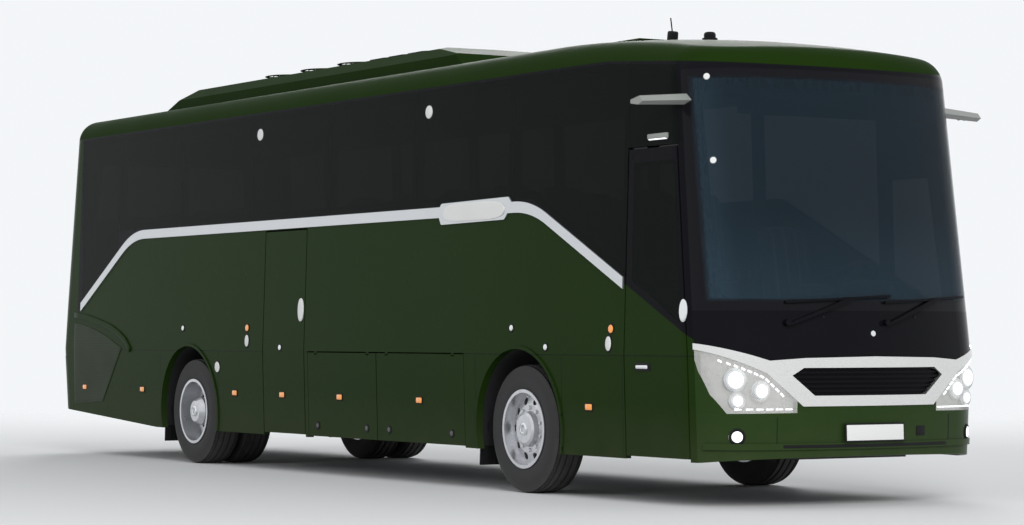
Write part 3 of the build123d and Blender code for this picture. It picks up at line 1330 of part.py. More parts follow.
rim_plane = Plane(origin=tuple(helm), x_dir=(1, 0, 0), z_dir=tuple(shaft))
helm_wheel = rim_plane * Torus(HELM_R, HELM_RIM_R)
helm_wheel = helm_wheel + rod(tuple(helm - shaft * (HELM_DROP + 59)), tuple(helm - shaft * 20), HELM_SHAFT_R)
helm_wheel = helm_wheel + rod(tuple(helm - shaft * 45), tuple(helm - shaft * 5), HELM_HUB_R)
spoke = Pos(HELM_R / 2 + 10, 0, -HELM_SPOKE[1]) * Box(HELM_R - 20, *HELM_SPOKE)
for angle in (0, 180, 270):
    helm_wheel = helm_wheel + rim_plane * (Rot(0, 0, angle) * spoke)
keep("steering_wheel", largest(helm_wheel))


def seat_solid(x, station, floor, width, base):
    """A seat as one closed form: cushion, raked back and a narrower foot."""
    profile = [
        (0, base),
        (0, base + 130),
        (430, base + 115),
        (555, base + 760),
        (600, base + 790),
        (655, base + 770),
        (530, base + 60),
        (500, base),
    ]
    outline = face_of([(x - width / 2, at(station + d), floor + z) for d, z in profile])
    return Solid.extrude(outline, Vector(width, 0, 0))


driver = seat_solid(HELM[0], DRIVER_STATION, CAB_Z, DRIVER_WIDTH, DRIVER_BASE)
keep("driver_seat", driver)
pedestal_x = (HELM[0] - PEDESTAL_HALF, HELM[0] + PEDESTAL_HALF)
pedestal_ends = (DRIVER_STATION + 80, DRIVER_STATION + 440)
keep("driver_pedestal", block(pedestal_x, pedestal_ends, (CAB_Z, CAB_Z + DRIVER_BASE - RUNNING)))
seats = []
legs = []
pair = 2 * SEAT_WIDTH + SEAT_GAP
for number in range(ROWS):
    station = ROW_FIRST + ROW_PITCH * number
    for side in (-1, 1):
        if side < 0 and station + 700 > well[0] and station < well[1] + 60:
            continue
        x = side * (AISLE_HALF + pair / 2)
        seats.append(seat_solid(x, station, FLOOR_Z, pair, SEAT_BASE))
        leg_x = (x - pair / 2 + LEG_INSET, x + pair / 2 - LEG_INSET)
        legs.append(block(leg_x, (station + 90, station + 420), (FLOOR_Z, FLOOR_Z + SEAT_BASE - RUNNING)))
keep("passenger_seats", *seats)
keep("seat_bases", *legs)

for name, solids in NODES.items():
    shape = solids[0] if len(solids) == 1 else Compound(children=solids)
    export_step(shape, "parts/" + name + ".step")
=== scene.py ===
import json
import math
import bpy
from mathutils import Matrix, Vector


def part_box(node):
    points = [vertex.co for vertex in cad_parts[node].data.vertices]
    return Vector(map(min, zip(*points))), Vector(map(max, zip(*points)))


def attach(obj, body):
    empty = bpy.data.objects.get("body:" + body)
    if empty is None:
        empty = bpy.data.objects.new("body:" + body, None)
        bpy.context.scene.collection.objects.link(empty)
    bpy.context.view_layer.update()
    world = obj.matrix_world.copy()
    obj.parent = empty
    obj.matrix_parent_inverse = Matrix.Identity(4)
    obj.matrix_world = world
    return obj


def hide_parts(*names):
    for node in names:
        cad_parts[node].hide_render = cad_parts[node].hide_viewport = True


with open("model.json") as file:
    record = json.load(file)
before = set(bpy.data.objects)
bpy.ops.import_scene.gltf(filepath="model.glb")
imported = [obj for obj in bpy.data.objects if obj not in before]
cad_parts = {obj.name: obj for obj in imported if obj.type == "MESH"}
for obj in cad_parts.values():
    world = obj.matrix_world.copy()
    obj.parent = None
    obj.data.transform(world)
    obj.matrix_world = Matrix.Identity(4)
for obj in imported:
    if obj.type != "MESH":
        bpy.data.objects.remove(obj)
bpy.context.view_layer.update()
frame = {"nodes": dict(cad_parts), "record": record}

bl_info = {
    "name": "Touring coach dressing",
    "version": (1, 0, 0),
    "blender": (4, 5, 0),
    "location": "View3D > Sidebar > Coach",
    "description": "Finishes and fittings for a two-axle touring coach",
    "category": "Object",
}

# Lines of the body, in metres: distance behind the nose, and height
LENGTH = 12.295
PILLAR = 0.480
GLASS_FOOT_Z = 1.205
BELT_START = 2.700
BELT_Z = 2.255
BELT_END = 10.330
GLASS_TAIL = 11.620
GLASS_TAIL_Z = 1.535
PANE_END = 11.715
FLAP_LINE_Z = 1.092
SKIRT_Z = 0.33
PANEL_JOINTS = (1.385, 2.225, 3.515, 8.285, 9.595, 10.900)
AXLES = (2.870, 8.950)
WHEEL_R = 0.505
RIM_R = 0.300

# Where the lines that look for the skin start, clear of the body
CLEAR_SIDE = 3.0
CLEAR_END = 2.0
CLEAR_TOP = 5.0
UP = (0, 0, 1)
DOWN = (0, 0, -1)
SIDES = ((1, "left"), (-1, "right"))


def at(station):
    """Y of a place this far behind the nose."""
    return station - LENGTH / 2


def srgb(red, green, blue):
    """A colour given as it looks on a screen, 0 to 255, in Blender's linear values."""
    def linear(level):
        level = level / 255
        return level / 12.92 if level <= 0.04045 else ((level + 0.055) / 1.055) ** 2.4
    return (linear(red), linear(green), linear(blue), 1.0)


def shade(colour, share):
    """The same colour, darker or lighter."""
    return tuple(level * share for level in colour[:3]) + (1.0,)


GREEN = srgb(30, 50, 14)
BLACK = (0.006, 0.006, 0.008, 1.0)


class Wire:
    """A socket that adds Math nodes when it is used in an expression."""

    def __init__(self, net, socket):
        self.net = net
        self.socket = socket

    def __add__(self, other):
        return self.net.math("ADD", self, other)

    def __radd__(self, other):
        return self.net.math("ADD", other, self)

    def __sub__(self, other):
        return self.net.math("SUBTRACT", self, other)

    def __rsub__(self, other):
        return self.net.math("SUBTRACT", other, self)

    def __mul__(self, other):
        return self.net.math("MULTIPLY", self, other)

    def __gt__(self, other):
        return self.net.math("GREATER_THAN", self, other)

    def __lt__(self, other):
        return self.net.math("LESS_THAN", self, other)

    def __truediv__(self, other):
        return self.net.math("DIVIDE", self, other)


class Net:
    """A node tree, written as expressions."""

    def __init__(self, tree):
        self.tree = tree
        tree.nodes.clear()

    def node(self, kind, settings=None, **sockets):
        """A node with its settings made first, then the values or links of its sockets."""
        made = self.tree.nodes.new(kind)
        for key, value in (settings or {}).items():
            setattr(made, key, value)
        for key, value in sockets.items():
            name = key.replace("_", " ")
            self.feed(made.inputs[int(name[1:]) if name[1:].isdigit() else name], value)
        return made

    def feed(self, socket, value):
        if isinstance(value, Wire):
            self.tree.links.new(value.socket, socket)
        else:
            socket.default_value = value

    def wire(self, node, output=0):
        return Wire(self, node.outputs[output])

    def math(self, operation, first, second=0.0):
        return self.wire(self.node("ShaderNodeMath", {"operation": operation}, i0=first, i1=second))

    def lowest(self, first, second):
        return self.math("MINIMUM", first, second)

    def highest(self, first, second):
        return self.math("MAXIMUM", first, second)

    def mixed(self, factor, first, second):
        """One shader blended into another."""
        return self.wire(
            self.node("ShaderNodeMixShader", None, i0=factor, i1=self.wire(first), i2=self.wire(second))
        )


class Finish(Net):
    """A material's node tree, with the place on the object as a vector and as x, y and z."""

    def __init__(self, name):
        self.material = bpy.data.materials.new(name)
        self.material.use_nodes = True
        super().__init__(self.material.node_tree)
        self.shader = self.node("ShaderNodeBsdfPrincipled")
        self.output = self.node("ShaderNodeOutputMaterial", None, Surface=self.wire(self.shader))
        self.point = self.wire(self.node("ShaderNodeTexCoord"), "Object")
        split = self.node("ShaderNodeSeparateXYZ", None, Vector=self.point)
        self.x, self.y, self.z = [self.wire(split, axis) for axis in range(3)]

    def noise(self, scale, detail=3.0, vector=None):
        vector = vector or self.point
        made = self.node(
            "ShaderNodeTexNoise", None, Vector=vector, Scale=scale, Detail=detail, Roughness=0.55
        )
        return self.wire(made)

    def blend(self, factor, first, second):
        """From the first colour to the second by a factor."""
        return self.wire(self.node("ShaderNodeMix", {"data_type": "RGBA"}, i0=factor, i6=first, i7=second), 2)

    def spread(self, value, low, high):
        """A 0 to 1 value stretched to run from low to high."""
        return value * (high - low) + low

    def band(self, value, middle, half_width):
        """1 inside a band about a value, 0 outside."""
        return self.wire(
            self.node("ShaderNodeMath", {"operation": "COMPARE"}, i0=value, i1=middle, i2=half_width)
        )

    def bump(self, height, strength, distance):
        return self.wire(
            self.node("ShaderNodeBump", None, Height=height, Strength=strength, Distance=distance)
        )

    def wheel_radius(self):
        """Distance from the axis of the nearest wheel."""
        nearest = self.math("ABSOLUTE", self.y + (LENGTH / 2 - sum(AXLES) / 2))
        along = nearest - (AXLES[1] - AXLES[0]) / 2
        return self.math("SQRT", along * along + (self.z - WHEEL_R) * (self.z - WHEEL_R))

    def surface(self, **sockets):
        """Sets the shader's sockets and hands back the material."""
        for key, value in sockets.items():
            self.feed(self.shader.inputs[key.replace("_", " ")], value)
        return self.material


def glass_zone(net, station):
    """1 over the dark glass band of the side, whose foot rises, runs level and drops."""
    rise = (BELT_Z - GLASS_FOOT_Z) / (BELT_START - PILLAR)
    fall = (BELT_Z - GLASS_TAIL_Z) / (GLASS_TAIL - BELT_END)
    front = (station - PILLAR) * rise + GLASS_FOOT_Z
    tail = (station - BELT_END) * -fall + BELT_Z
    foot = net.lowest(net.lowest(front, tail), BELT_Z)
    return (net.z > foot) * (station < PANE_END)


def make_paint(name, colour, banded=False, shine=0.03, dull=0.0):
    """Glossy body paint; on a banded panel the frame round the glass is black."""
    net = Finish(name)
    station = net.y + LENGTH / 2
    tint = net.blend(net.spread(net.noise(1.3, 4.0), 0.0, 0.5), colour, shade(colour, 0.72))
    dust = net.highest(0.0, 1.0 - (net.z - SKIRT_Z) * 2.4) * net.noise(5.0, 6.0)
    tint = net.blend(dust * 0.22, tint, srgb(96, 92, 78))
    height = net.noise(260.0, 2.0) * 0.012
    if banded:
        seam = net.band(net.z, FLAP_LINE_Z, 0.0028)
        for joint in PANEL_JOINTS:
            seam = net.highest(seam, net.band(station, joint, 0.0025) * (net.z < FLAP_LINE_Z))
        black = glass_zone(net, station)
        tint = net.blend(black, net.blend(seam * 0.85, tint, BLACK), BLACK)
        height = height - seam * (1.0 - black)
    return net.surface(
        Base_Color=tint, Roughness=net.spread(net.noise(3.0, 5.0), 0.20 + dull, 0.32 + dull) + dust * 0.25,
        Specular_IOR_Level=shine, Normal=net.bump(height, 0.5, 0.004),
    )


def make_glass(name, colour, alpha):
    """Dark side glass with a slight waviness."""
    net = Finish(name)
    streak = net.noise(1.1)
    return net.surface(
        Base_Color=net.blend(streak, colour, shade(colour, 1.6)), Roughness=net.spread(streak, 0.02, 0.06),
        Alpha=alpha, Specular_IOR_Level=0.035, Normal=net.bump(net.noise(0.8, 1.0), 0.05, 0.02),
    )


def make_screen(name, colour, alpha):
    """The windscreen: see-through in the middle, with a black printed border that fades in by dots, and a
    painted reflection that lightens the glass towards its foot and its outer edges.
    """
    net = Finish(name)
    out = net.math("ABSOLUTE", net.x)
    half_width = 1.245 - (net.z - 1.42) * 0.012
    edge = net.lowest(half_width - out, net.lowest(net.z - 1.445, 3.160 - net.z))
    dots = net.math("SINE", net.x * 420.0) * net.math("SINE", net.z * 420.0) > -0.15
    border = net.highest(edge < 0.045, dots * (edge < 0.060))
    streak = net.noise(0.9)
    # Painted reflection: the glass is made lighter towards its foot and its outer edges, and the noise
    # mottles it
    pale = net.highest(0.0, 1.0 - (net.z - 1.50) * 1.6) * 0.5 + net.highest(0.0, (out - 1.02) * 3.5)
    tint = net.blend(net.lowest(1.0, pale + streak * 0.3), colour, shade(colour, 2.8))
    return net.surface(
        Base_Color=net.blend(border, tint, BLACK), Roughness=net.spread(streak, 0.03, 0.07),
        Alpha=net.highest(border, alpha), Specular_IOR_Level=0.10,
        Normal=net.bump(net.noise(0.7, 1.0), 0.05, 0.02),
    )


def make_plain(name, colour, rough, metal=0.0, grain=90.0, depth=0.0006, wear=0.25, shine=0.5, spread=0.1):
    """A moulded or metal finish: colour drift, uneven gloss and a fine grain."""
    net = Finish(name)
    drift = net.noise(2.2, 4.0)
    return net.surface(
        Base_Color=net.blend(drift, colour, shade(colour, 1 - wear)),
        Metallic=metal, Specular_IOR_Level=shine,
        Roughness=net.spread(drift, max(rough - spread, 0.02), rough + spread),
        Normal=net.bump(net.noise(grain), 0.4, depth),
    )


def make_brushed(name, colour, rough, scale):
    """Satin metal with a grain drawn out along the coach."""
    net = Finish(name)
    drawn = net.wire(net.node("ShaderNodeMapping", None, Vector=net.point, Scale=scale))
    grain = net.noise(40.0, 4.0, drawn)
    return net.surface(
        Base_Color=net.blend(grain * 0.25 + net.noise(3.0) * 0.25, colour, shade(colour, 0.8)), Metallic=0.85,
        Roughness=net.spread(grain, rough - 0.03, rough + 0.04), Normal=net.bump(grain, 0.08, 0.0004),
    )


def make_alloy(name):
    """Bright machined wheel metal with turning rings and patches of dust."""
    net = Finish(name)
    rings = net.math("SINE", net.wheel_radius() * 900.0)
    dirt = net.noise(18.0, 5.0)
    return net.surface(
        Base_Color=net.blend(dirt * 0.5, srgb(226, 227, 230), srgb(150, 150, 152)), Metallic=0.9,
        Roughness=net.spread(dirt, 0.2, 0.42), Normal=net.bump(rings * 0.2 + dirt * 0.4, 0.15, 0.0008),
    )


def make_rubber(name):
    """Tyre rubber: fine rings on the sidewall, grey dust on the tread."""
    net = Finish(name)
    radius = net.wheel_radius()
    rings = net.math("SINE", radius * 700.0) * (radius < 0.46)
    dust = net.noise(9.0, 6.0)
    worn = net.highest(0.0, (radius - 0.44) * 9.0) * dust
    return net.surface(
        Base_Color=net.blend(net.lowest(worn + dust * 0.25, 0.8), srgb(34, 34, 36), srgb(82, 80, 77)),
        Roughness=net.spread(dust, 0.62, 0.86),
        Normal=net.bump(rings * 0.5 + net.noise(300.0) * 0.5, 0.35, 0.0015),
    )


def make_fabric(name, colour, accent):
    """Woven seat cloth: crossed threads, a darker fleck and a soft sheen."""
    net = Finish(name)
    weave = net.math("SINE", (net.x + net.y * 0.3) * 2600.0) * net.math("SINE", (net.z + net.y) * 2600.0)
    fleck = net.noise(160.0, 2.0)
    stripe = net.band(net.math("FRACT", net.x * 9.0), 0.5, 0.06)
    tint = net.blend(net.spread(weave, 0.2, 0.8) * 0.5, colour, shade(colour, 0.6))
    return net.surface(
        Base_Color=net.blend(stripe * fleck, tint, accent), Roughness=net.spread(fleck, 0.8, 0.95),
        Sheen_Weight=0.3, Normal=net.bump(weave * 0.5 + fleck, 0.4, 0.0008),
    )


def make_lens(name, colour, alpha, glow, ribs):
    """Lamp lens with moulded ribs."""
    net = Finish(name)
    rib = net.math("SINE", net.x * ribs) * 0.5 + net.math("SINE", net.z * ribs) * 0.5
    cloud = net.noise(14.0)
    return net.surface(
        Base_Color=net.blend(cloud, colour, shade(colour, 0.75)),
        Roughness=net.spread(cloud, 0.05, 0.16), Alpha=alpha,
        Coat_Weight=1.0, Emission_Color=colour, Emission_Strength=glow, Normal=net.bump(rib, 0.25, 0.002),
    )


def make_mesh(name, colour):
    """Painted grille mesh: rows of small dark holes, each row shifted half a step."""
    net = Finish(name)
    row = net.z * 62.0
    shift = net.math("FRACT", net.math("FLOOR", row) * 0.5)
    across = net.math("FRACT", net.y * 54.0 + shift) - 0.5
    down = net.math("FRACT", row) - 0.5
    hole = (across * across + down * down) < 0.085
    cloud = net.noise(2.6, 4.0)
    return net.surface(
        Base_Color=net.blend(hole, net.blend(cloud, colour, shade(colour, 0.75)), BLACK),
        Roughness=net.spread(cloud, 0.35, 0.5), Specular_IOR_Level=0.08,
        Normal=net.bump(1.0 - hole, 0.6, 0.003),
    )


def make_display(name):
    """A dark screen with dim rows of bars."""
    net = Finish(name)
    rows = net.band(net.math("FRACT", net.z * 26.0), 0.5, 0.16)
    bars = net.math("FRACT", net.x * 17.0) < net.noise(9.0, 1.0)
    return net.surface(
        Base_Color=(0.01, 0.011, 0.012, 1.0), Roughness=net.spread(net.noise(6.0), 0.08, 0.16),
        Emission_Strength=0.8,
        Emission_Color=net.blend(rows * bars, (0.002, 0.003, 0.004, 1.0), (0.12, 0.20, 0.26, 1.0)),
    )


FINISHES = {}


def make_finishes():
    FINISHES.update(
        paint=make_paint("body_paint", GREEN),
        side_paint=make_paint("side_paint", GREEN, banded=True),
        roof_paint=make_paint("roof_paint", GREEN, shine=0.012, dull=0.2),
        # The bumper takes the body green made lighter: painted light, a lit copy of the side's paint so that
        # the nose looks sunlit
        nose_paint=make_paint("nose_paint", srgb(36, 58, 20), shine=0.10),
        glass=make_glass("dark_glass", (0.003, 0.005, 0.004, 1.0), 0.80),
        screen=make_screen("windscreen_glass", (0.010, 0.019, 0.027, 1.0), 0.60),
        gloss_black=make_plain("gloss_black", BLACK, 0.14, shine=0.06, grain=30.0, depth=0.0003),
        rubber_black=make_plain("seal_rubber", (0.010, 0.010, 0.011, 1.0), 0.65, shine=0.2, grain=220.0),
        bright=make_brushed("bright_trim", srgb(214, 216, 218), 0.3, (1.0, 0.05, 6.0)),
        surround=make_brushed("surround_trim", srgb(232, 232, 230), 0.26, (0.05, 1.0, 6.0)),
        chrome=make_plain(
            "chrome", (0.86, 0.87, 0.88, 1.0), 0.09,
            metal=1.0, grain=60.0, depth=0.0002, wear=0.1, spread=0.04,
        ),
        alloy=make_alloy("wheel_alloy"),
        rubber=make_rubber("tyre_rubber"),
        chassis=make_plain("chassis_paint", (0.02, 0.02, 0.022, 1.0), 0.6, grain=60.0, depth=0.001, wear=0.4),
        floor_cover=make_plain(
            "floor_cover", (0.09, 0.09, 0.095, 1.0), 0.7, grain=400.0, depth=0.0008, wear=0.35
        ),
        plastic=make_plain("cabin_plastic", (0.055, 0.056, 0.06, 1.0), 0.55, grain=380.0, depth=0.0008),
        cast=make_plain(
            "cast_metal", (0.16, 0.16, 0.165, 1.0), 0.6, metal=0.5, grain=50.0, depth=0.002, wear=0.4
        ),
        fabric=make_fabric("seat_fabric", srgb(62, 64, 72), srgb(150, 152, 158)),
        lamp=make_lens("lamp_glass", (0.80, 0.80, 0.77, 1.0), 0.36, 0.28, 120.0),
        amber=make_lens("amber_lens", (0.95, 0.32, 0.03, 1.0), 1.0, 0.25, 400.0),
        red=make_lens("red_lens", (0.5, 0.01, 0.012, 1.0), 1.0, 0.05, 160.0),
        white=make_plain("white_plate", (0.8, 0.8, 0.78, 1.0), 0.4, grain=60.0, depth=0.0002, wear=0.08),
        arm=make_plain("arm_shell", srgb(150, 153, 148), 0.34, grain=160.0, depth=0.0003, wear=0.18),
        mesh=make_mesh("quarter_mesh", srgb(50, 64, 40)),
        bowl=make_plain("lamp_bowl", srgb(214, 216, 216), 0.2, metal=0.7, grain=30.0, depth=0.0003, wear=0.2),
        beam=make_lens("lamp_bead", (0.95, 0.96, 1.0, 1.0), 1.0, 1.3, 60.0),
        display=make_display("cab_display"),
    )


# Which finish each CAD node takes
NODE_FINISH = {
    "side_paint": (
        "side_wall_left", "side_wall_right", "side_panels_left", "side_panels_right", "front_door",
    ),
    "paint": (
        "rear_wall", "engine_cover", "middle_door", "luggage_flap_right_front", "luggage_flap_right_rear",
        "luggage_flap_left_front", "luggage_flap_left_middle", "luggage_flap_left_rear",
    ),
    "nose_paint": ("front_bumper",),
    "roof_paint": ("roof", "roof_air_unit", "roof_hatch_front", "roof_hatch_rear"),
    "glass": ("side_windows", "rear_window", "front_door_glass"),
    "screen": ("windscreen",),
    "gloss_black": ("front_panel", "grille", "wipers"),
    "bright": ("waist_mouldings",),
    "arm": ("camera_arms",),
    "surround": ("grille_surround",),
    "lamp": ("headlamps",),
    "red": ("tail_lamps",),
    "alloy": ("front_rim_left", "front_rim_right", "rear_rims_left", "rear_rims_right"),
    "chassis": (
        "underframe", "outriggers", "tow_clevis", "front_axle", "rear_axle", "knuckle_left", "knuckle_right",
        "wheel_housings", "front_door_arms", "middle_door_arms",
    ),
    "floor_cover": ("passenger_floor", "front_entrance", "middle_entrance", "luggage_hold"),
    "plastic": ("dashboard", "steering_wheel", "driver_pedestal", "seat_bases"),
    "cast": ("engine_block",),
}

# Which body carries each CAD node, as model.json's behaviour lists them
BODY_OF = {node: body for body, nodes in frame["record"]["behaviour"]["bodies"].items() for node in nodes}


def deselect():
    if bpy.context.object and bpy.context.object.mode != "OBJECT":
        bpy.ops.object.mode_set(mode="OBJECT")
    bpy.ops.object.select_all(action="DESELECT")


def pick(thing):
    deselect()
    thing.select_set(True)
    bpy.context.view_layer.objects.active = thing


def apply_place(thing):
    pick(thing)
    bpy.ops.object.transform_apply(location=True, rotation=True, scale=True)
    return thing


def modify(thing, kind, **settings):
    pick(thing)
    modifier = thing.modifiers.new(kind.lower(), kind)
    for key, value in settings.items():
        setattr(modifier, key, value)
    bpy.ops.object.modifier_apply(modifier=modifier.name)


def block(middle, size, turn=(0.0, 0.0, 0.0), bevel=0.0):
    """A box with rounded edges."""
    deselect()
    bpy.ops.mesh.primitive_cube_add(size=1, location=middle, rotation=turn, scale=size)
    made = apply_place(bpy.context.object)
    if bevel:
        modify(made, "BEVEL", width=bevel, segments=3, limit_method="NONE")
    return made


def drum(middle, radius, depth, normal=UP, sides=32, bevel=0.004, stretch=1.0, segments=3):
    """A round or oval boss standing along a normal."""
    deselect()
    turn = Vector(normal).to_track_quat("Z", "Y").to_euler()
    bpy.ops.mesh.primitive_cylinder_add(
        vertices=sides, radius=radius, depth=depth, location=middle, rotation=turn, scale=(1.0, stretch, 1.0)
    )
    made = apply_place(bpy.context.object)
    modify(made, "BEVEL", width=bevel, segments=segments, limit_method="ANGLE")
    return made


def boss(skin, radius, depth, bevel, lift=0.0, sides=32, stretch=1.0):
    """A drum on a point of the skin, along the way that the skin faces there."""
    point, normal = skin
    return drum(point + normal * lift, radius, depth, normal, sides, bevel, stretch)


def tile(skin, size, bevel, lift=0.0):
    """A rounded block on a point of the skin."""
    point, normal = skin
    return block(point + normal * lift, size, bevel=bevel)


def join(parts, name):
    """One object out of several."""
    deselect()
    for part in parts:
        part.select_set(True)
    bpy.context.view_layer.objects.active = parts[0]
    if len(parts) > 1:
        bpy.ops.object.join()
    made = bpy.context.object
    made.name = name
    made.data.name = name
    return made


def put(name, finish, *parts, body="coach_body", slot=None):
    """One finished piece out of its parts, on the body that carries it."""
    made = join(parts, name)
    made.data.materials.clear()
    made.data.materials.append(FINISHES[finish])
    pick(made)
    bpy.ops.object.shade_smooth_by_angle(angle=math.radians(35))
    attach(made, body)
    return made


def duplicate(thing, shift):
    """A copy with its own mesh, moved in its mesh."""
    pick(thing)
    bpy.ops.object.duplicate(linked=False)
    made = bpy.context.object
    made.location = shift
    return apply_place(made)


def tidy_normals(thing):
    pick(thing)
    bpy.ops.object.mode_set(mode="EDIT")
    bpy.ops.mesh.select_all(action="SELECT")
    bpy.ops.mesh.remove_doubles(threshold=0.00001)
    bpy.ops.mesh.normals_make_consistent(inside=False)
    bpy.ops.object.mode_set(mode="OBJECT")


def turned(profile, middle, steps, side=1, axis=(1, 0, 0)):
    """A ring of (outward, radius) corners spun about the axle, or about an upright axis."""
    deselect()
    bpy.ops.mesh.primitive_circle_add(vertices=len(profile), radius=1.0, fill_type="NOTHING")
    made = bpy.context.object
    x, y, z = middle
    for vertex, (out, radius) in zip(made.data.vertices, profile):
        vertex.co = (x + radius, y, z + out) if axis[2] else (x + side * out, y, z + radius)
    bpy.ops.object.mode_set(mode="EDIT")
    bpy.ops.mesh.select_all(action="SELECT")
    bpy.ops.mesh.spin(steps=steps, angle=math.tau, center=middle, axis=axis)
    bpy.ops.object.mode_set(mode="OBJECT")
    tidy_normals(made)
    return made


def nearest_skin(nodes, start, way):
    """Where a line first meets the outside of these CAD nodes, and the way that the surface faces there."""
    start = Vector(start)
    found = []
    for node in nodes:
        hit, point, normal, index = frame["nodes"][node].ray_cast(start, Vector(way))
        if hit:
            found.append(((point - start).length, point, normal))
    if not found:
        raise RuntimeError(
            "nothing of " + ", ".join(nodes) + " lies along the line from " + str(tuple(start))
        )
    return min(found, key=lambda entry: entry[0])[1:]


def on_skin(node, start, way):
    return nearest_skin((node,), start, way)


def beside(node, side, station, height):
    return on_skin(node, (side * CLEAR_SIDE, at(station), height), (-side, 0, 0))


def ahead(node, x, height):
    return on_skin(node, (x, at(-CLEAR_END), height), (0, 1, 0))


def behind(node, x, height):
    return on_skin(node, (x, at(LENGTH + CLEAR_END), height), (0, -1, 0))


def above(node, x, station):
    """The top of a CAD node at a place."""
    return on_skin(node, (x, at(station), CLEAR_TOP), DOWN)[0]


def grid(across, up):
    deselect()
    bpy.ops.mesh.primitive_grid_add(x_subdivisions=across, y_subdivisions=up, size=1)
    return bpy.context.object


def thicken(sheet, thick, edge):
    """Gives a sheet its thickness and rounded rims."""
    modify(sheet, "SOLIDIFY", thickness=thick, offset=0.0)
    tidy_normals(sheet)
    modify(sheet, "BEVEL", width=edge, segments=2, limit_method="ANGLE", angle_limit=math.radians(50))
    return sheet


def side_ribbon(node, side, path, width, lift, thick):
    """A rounded strip along the side through (station, height) points; its width runs square to that."""
    last = len(path) - 1
    strip = grid(last, 3)
    for vertex in strip.data.vertices:
        index = min(int((vertex.co.x + 0.5) * last + 0.001), last)
        before, after = path[max(index - 1, 0)], path[min(index + 1, last)]
        along = Vector((after[0] - before[0], after[1] - before[1])).normalized()
        spot = Vector(path[index]) + Vector((-along.y, along.x)) * vertex.co.y * width
        point, normal = beside(node, side, spot.x, spot.y)
        vertex.co = point + normal * lift
    return thicken(strip, thick, thick * 0.3)


def side_panel(node, side, corners, cuts, crown, lift, thick):
    """A thin crowned panel on the side; its four corners are (station, height), from the top front."""
    sheet = grid(*cuts)
    top_front, top_back, low_back, low_front = [Vector(corner) for corner in corners]
    for vertex in sheet.data.vertices:
        u, v = vertex.co.x + 0.5, vertex.co.y + 0.5
        spot = top_front.lerp(top_back, u).lerp(low_front.lerp(low_back, u), 1 - v)
        point, normal = beside(node, side, spot.x, spot.y + crown * math.sin(u * math.pi) * v)
        vertex.co = point + normal * lift
    return thicken(sheet, thick, thick * 0.3)


def patch(node, start, way, size, cuts, lift, thick):
    """A grid cast on to a CAD node's outside, from ahead or above, and given a thickness."""
    sheet = grid(*cuts)
    start, way = Vector(start), Vector(way)
    across = Vector((size[0], 0, 0))
    up = Vector((0, size[1], 0)) if way.z else Vector((0, 0, size[1]))
    for vertex in sheet.data.vertices:
        vertex.co = on_skin(node, start + across * vertex.co.x + up * vertex.co.y, way)[0] - way * lift
    return thicken(sheet, thick, thick * 0.3)


class CoachSizes(bpy.types.PropertyGroup):
    """Sizes of the fittings."""

    marker_width: bpy.props.FloatProperty(
        name="Marker width", description="Width of an amber side marker", default=0.095, unit="LENGTH"
    )
    marker_height: bpy.props.FloatProperty(
        name="Marker height", description="Height of an amber side marker", default=0.048, unit="LENGTH"
    )
    plate_width: bpy.props.FloatProperty(
        name="Plate width", description="Width of a blank number plate", default=0.520, unit="LENGTH"
    )
    plate_height: bpy.props.FloatProperty(
        name="Plate height", description="Height of a blank number plate", default=0.112, unit="LENGTH"
    )
    tyre_steps: bpy.props.IntProperty(name="Tyre steps", description="Faces round a tyre", default=96, min=24)


class CoachStageSettings(bpy.types.PropertyGroup):
    """Camera and light."""

    lens: bpy.props.FloatProperty(name="Lens", description="Focal length on a 36 mm sensor", default=99.2)
    floor_colour: bpy.props.FloatVectorProperty(
        name="Floor colour", description="Colour of the pale floor", default=(0.84, 0.84, 0.84),
        size=3, subtype="COLOR",
    )
    key_power: bpy.props.FloatProperty(name="Key light", description="Power of the main lamp", default=3900.0)


